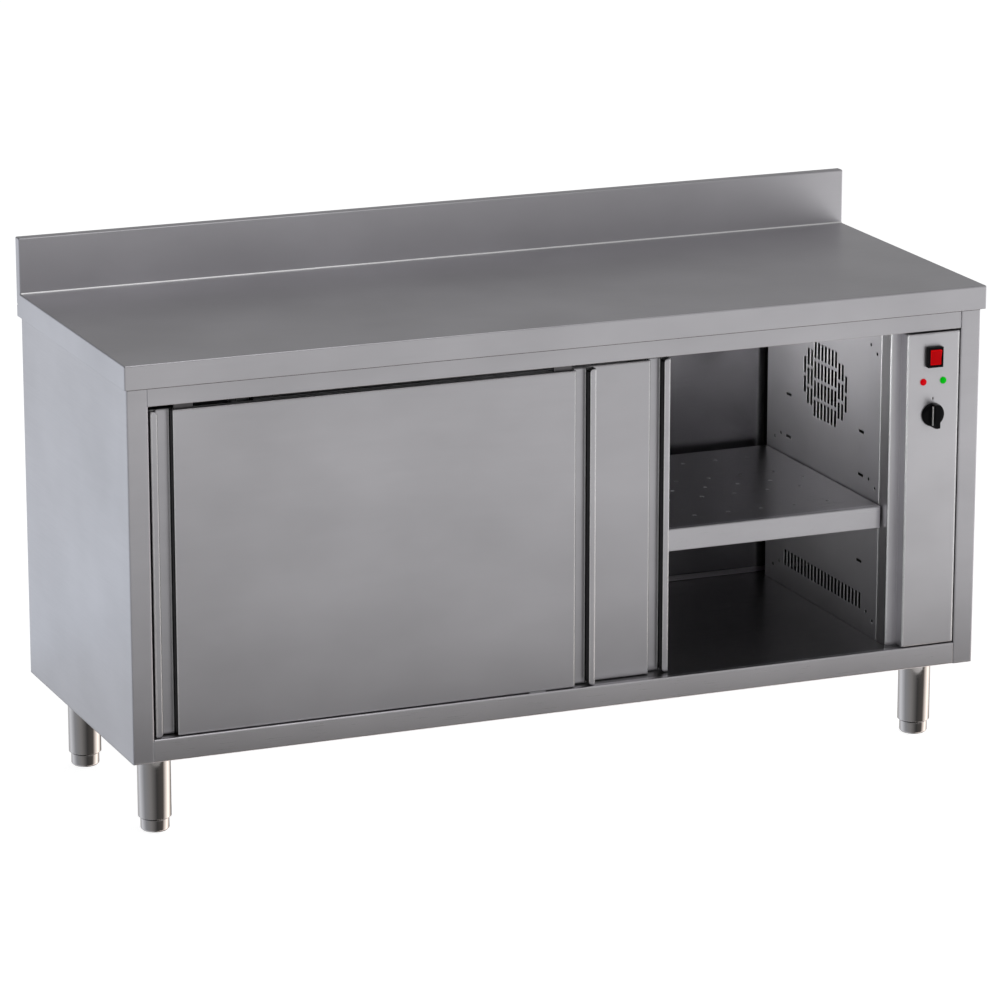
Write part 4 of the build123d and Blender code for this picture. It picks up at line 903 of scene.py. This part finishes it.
def make_foot(corner):
    """A chamfered foot with a groove round its top, on a stem that goes up into the tube."""
    middle, low, high = centre_of(f"foot_{corner}")
    radius = (high.x - low.x) / 2
    top, groove = low.z + FOOT_HEIGHT, low.z + GROOVE_FLOOR
    foot = spun([
        (0.0, high.z), (FOOT_STEM_RADIUS, high.z), (FOOT_STEM_RADIUS, top),
        (radius - GROOVE_DEPTH, top), (radius - GROOVE_DEPTH, groove), (radius, groove),
        (radius, low.z + FOOT_CHAMFER), (radius - FOOT_CHAMFER, low.z), (0.0, low.z),
    ])
    soften(foot, FOOT_EDGE, sharper=20.0)
    stand_at(foot, middle)
    piece(foot, f"levelling_{corner}", f"foot_{corner}", steel_tube, [f"foot_{corner}"])


print("the foot is", FOOT_HEIGHT * 1000, "mm high")

# %% Make the legs and feet
for corner in ("front_left", "front_right", "rear_left", "rear_right"):
    make_leg(corner)
    make_foot(corner)

# %% [markdown]
# ## Parts that face forward
#
# The knob, the lamps, the rocker and the mark sit on an upright panel. It is easier to draw
# such a part lying down, as if on a bench. So the skirt, the grip, the lamps, their nuts and
# the mark are drawn facing up along Z and then tipped. The grip and the rocker's key aren't
# round, so each is an outline extruded to a height.

# %% Helpers for parts that face forward
def tip_forward(mesh, place):
    """Turn a mesh that faces up so that it faces -Y, and put it in place."""
    tip = Matrix.Rotation(math.radians(90.0), 3, "X")
    bmesh.ops.rotate(mesh, verts=mesh.verts, cent=(0, 0, 0), matrix=tip)
    bmesh.ops.translate(mesh, verts=mesh.verts, vec=place)


def arc(radius, start, end, steps):
    """Points on a circle between two angles in degrees."""
    turn = [math.radians(start + (end - start) * step / steps) for step in range(steps + 1)]
    return [(radius * math.cos(angle), radius * math.sin(angle)) for angle in turn]


def raised(outline, bottom, top):
    """A prism from an outline of (x, y) points, between two heights."""
    mesh = bmesh.new()
    base = mesh.faces.new([mesh.verts.new((x, y, bottom)) for x, y in outline])
    grown = bmesh.ops.extrude_face_region(mesh, geom=[base])["geom"]
    lid = [part for part in grown if isinstance(part, bmesh.types.BMVert)]
    bmesh.ops.translate(mesh, verts=lid, vec=(0.0, 0.0, top - bottom))
    bmesh.ops.recalc_face_normals(mesh, faces=mesh.faces)
    return mesh


PANEL_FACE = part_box("control_panel")[0].y
print("the panel's face is at y", round(PANEL_FACE, 4))

# %% [markdown]
# ## The thermostat's knob
#
# The knob is a shallow round skirt with one deep grip bar across it, and the bar's ends follow
# the skirt's rim. A bright strip is let into each side of the grip, which shows as a thin
# upright line. The skirt is round, so it is spun. The bar isn't, so its outline is drawn and
# extruded, and its edges stay crisp.

# %% Make the knob
middle, low, high = centre_of("thermostat_knob")
KNOB_RADIUS = (high.z - low.z) / 2
KNOB_DEPTH = high.y - low.y
SKIRT_DEPTH = 0.0052
SKIRT_DRAFT = 0.0006
SKIRT_SHOULDER = (0.0025, 0.0012)
CROWN_SHARE = 0.6
CROWN_RISE = (0.0008, 0.0012)
SKIRT_EDGE = 0.0004
place = (middle.x, high.y, middle.z)

skirt = spun([
    (0.0, 0.0), (KNOB_RADIUS, 0.0), (KNOB_RADIUS - SKIRT_DRAFT, SKIRT_DEPTH - SKIRT_SHOULDER[1]),
    (KNOB_RADIUS - SKIRT_SHOULDER[0], SKIRT_DEPTH),
    (KNOB_RADIUS * CROWN_SHARE, SKIRT_DEPTH + CROWN_RISE[0]), (0.0, SKIRT_DEPTH + CROWN_RISE[1]),
])
soften(skirt, SKIRT_EDGE, sharper=25.0)
tip_forward(skirt, place)
piece(skirt, "knob_skirt", "knob", knob_black, ["thermostat_knob"])

# %% Make the grip
GRIP_HALF = 0.005
GRIP_ROOT = 0.0005
GRIP_END_STEPS = 8

half_turn = math.degrees(math.asin(GRIP_HALF / KNOB_RADIUS))
outline = []
for end in (90.0, 270.0):
    outline += arc(KNOB_RADIUS, end - half_turn, end + half_turn, GRIP_END_STEPS)
grip = raised(outline, GRIP_ROOT, KNOB_DEPTH)
tip_forward(grip, place)
piece(grip, "knob_grip", "knob", knob_black, ["thermostat_knob"])
print("knob", round(KNOB_RADIUS * 2000, 1), "mm across and", round(KNOB_DEPTH * 1000, 1), "mm deep")

# %% Make the bright strips
STRIP_WIDTH = 0.0012
STRIP_INSET = 0.00045
STRIP_EDGE = 0.0003

line_middle, line_low, line_high = centre_of("knob_line")
for side, offset in (("left", STRIP_INSET - GRIP_HALF), ("right", GRIP_HALF - STRIP_INSET)):
    strip = bmesh.new()
    bmesh.ops.create_cube(strip, size=1.0)
    size = (STRIP_WIDTH, line_high.y - line_low.y, line_high.z - line_low.z)
    bmesh.ops.scale(strip, verts=strip.verts, vec=size)
    soften(strip, STRIP_EDGE)
    shift = (middle.x + offset, line_middle.y, middle.z)
    bmesh.ops.translate(strip, verts=strip.verts, vec=shift)
    piece(strip, f"knob_strip_{side}", "knob", silver, ["knob_line"])

# %% [markdown]
# ## The two signal lamps
#
# Each lamp is a smooth glass dome on a plain shank that passes through the panel, and a
# hexagonal nut holds it from behind. The dome's profile is a quarter of an ellipse, spun like
# the legs. The nut is a cone with equal ends and six sides.

# %% Make the lamps
LENS_RADIUS = 0.006
LENS_RIM = 0.0008
SHANK_RADIUS = 0.0045
NUT_RADIUS = 0.007
NUT_DEPTH = 0.004
NUT_BEHIND = 0.0032
NUT_EDGE = 0.0004

for colour, glass in (("red", red_glass), ("green", green_glass)):
    middle, low, high = centre_of(f"{colour}_lamp")
    rise, root = PANEL_FACE - low.y, PANEL_FACE - high.y
    dome = [(LENS_RADIUS * out, LENS_RIM + (rise - LENS_RIM) * up) for out, up in arc(1.0, 80.0, 0.0, 8)]
    shank = [(LENS_RADIUS, 0.0), (SHANK_RADIUS, 0.0), (SHANK_RADIUS, root), (0.0, root)]
    lamp = spun([(0.0, rise), *dome, *shank])
    tip_forward(lamp, (middle.x, PANEL_FACE, middle.z))
    piece(lamp, f"lamp_{colour}", MAIN_BODY, glass, [f"{colour}_lamp"])
    nut = bmesh.new()
    bmesh.ops.create_cone(
        nut, cap_ends=True, segments=6, radius1=NUT_RADIUS, radius2=NUT_RADIUS, depth=NUT_DEPTH,
    )
    soften(nut, NUT_EDGE)
    tip_forward(nut, (middle.x, PANEL_FACE + NUT_BEHIND, middle.z))
    piece(nut, f"lamp_nut_{colour}", MAIN_BODY, black_plastic, [f"{colour}_lamp"])

# %% [markdown]
# ## The rocker switch
#
# The key of the switch is a curved prism that tips about a pin behind its face. Its side view
# is the outline: a hollow front, two rounded ends and a flat back. It is extruded to the key's
# width and turned so that the width runs along X. Light from within makes the key glow. Its
# rim is a lighter red than the middle, so one material holds two reds, and the place on the
# key chooses between them.

# %% Make the rocker
ROCKER_PIVOT = Vector((0.703, -0.296, 0.728))
ROCKER_REST = math.radians(6.0)
KEY_HALF_WIDTH = 0.01075
KEY_RADIUS = 0.0138
KEY_FACE = 0.0030
KEY_SWEEP = 0.0014
KEY_BACK = 0.0038
KEY_STEPS = 8
FRONT_REACH = 0.0131
END_REACH = 0.0136
END_HALF = 0.002
BACK_REACH = 0.0132
KEY_EDGE = 0.0007
STAND_UP = Matrix(((0, 0, 1), (1, 0, 0), (0, 1, 0)))

shares = [step / KEY_STEPS for step in range(KEY_STEPS, -KEY_STEPS - 1, -1)]
front = [(-(KEY_FACE + KEY_SWEEP * share ** 2), FRONT_REACH * share) for share in shares]
key_end = [(-END_HALF, -END_REACH), (0.0, -KEY_RADIUS), (END_HALF, -END_REACH), (KEY_BACK, -BACK_REACH)]
outline = front + key_end + [(y, -z) for y, z in reversed(key_end)]
key = raised(outline, -KEY_HALF_WIDTH, KEY_HALF_WIDTH)
bmesh.ops.transform(key, verts=key.verts, matrix=STAND_UP.to_4x4())
soften(key, KEY_EDGE)
tilt = Matrix.Rotation(ROCKER_REST, 3, "X")
bmesh.ops.rotate(key, verts=key.verts, cent=(0, 0, 0), matrix=tilt)
bmesh.ops.translate(key, verts=key.verts, vec=ROCKER_PIVOT)
piece(key, "rocker_key", "rocker", rocker_red, ["switch_rocker"], smooth=30.0)

# %% Colour the rocker's rim
KEY_RIM = 0.14
RIM_SOFTNESS = 0.04
RIM_RED = (0.72, 0.003, 0.005)
FACE_RED = (0.45, 0.001, 0.003)


def rimmed(material, centre, half):
    """Colour the rim of a key lighter than the middle of its face; half is its half size."""
    nodes, links = material.node_tree.nodes, material.node_tree.links
    place = split(nodes, links, nodes.new("ShaderNodeTexCoord").outputs["Object"])
    reaches = []
    for axis, reach in half.items():
        offset = measured(nodes, links, "SUBTRACT", place[axis], centre[axis])
        size = measured(nodes, links, "ABSOLUTE", offset)
        reaches.append(measured(nodes, links, "DIVIDE", size, reach))
    furthest = measured(nodes, links, "MAXIMUM", *reaches)
    rim = ranged(nodes, links, furthest, 0.0, 1.0, 1.0 - KEY_RIM, 1.0 - KEY_RIM + RIM_SOFTNESS)
    colour = mixed(nodes, links, rim, FACE_RED, RIM_RED)
    shader = nodes["Principled BSDF"]
    links.new(colour, shader.inputs["Base Color"])
    links.new(colour, shader.inputs["Emission Color"])


rimmed(rocker_red, ROCKER_PIVOT, {X: KEY_HALF_WIDTH, Z: KEY_RADIUS})
print("the rim is", round(KEY_RIM * KEY_HALF_WIDTH * 1000, 1), "mm wide")

# %% [markdown]
# ## The index mark
#
# A small dark mark above the knob shows the setting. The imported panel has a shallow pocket
# there. The mark that lies in it is a thin disc, drawn out to twice its height.

# %% Make the index mark
MARK_HEIGHT = 0.6517
MARK_RADIUS = 0.0012
MARK_DEPTH = 0.0004
MARK_SUNK = 0.0003
MARK_STRETCH = (1.0, 2.0, 1.0)

mark = bmesh.new()
bmesh.ops.create_cone(
    mark, cap_ends=True, segments=32, radius1=MARK_RADIUS, radius2=MARK_RADIUS, depth=MARK_DEPTH,
)
bmesh.ops.scale(mark, verts=mark.verts, vec=MARK_STRETCH)
tip_forward(mark, (ROCKER_PIVOT.x, PANEL_FACE + MARK_SUNK, MARK_HEIGHT))
piece(mark, "index_mark", MAIN_BODY, index_black)
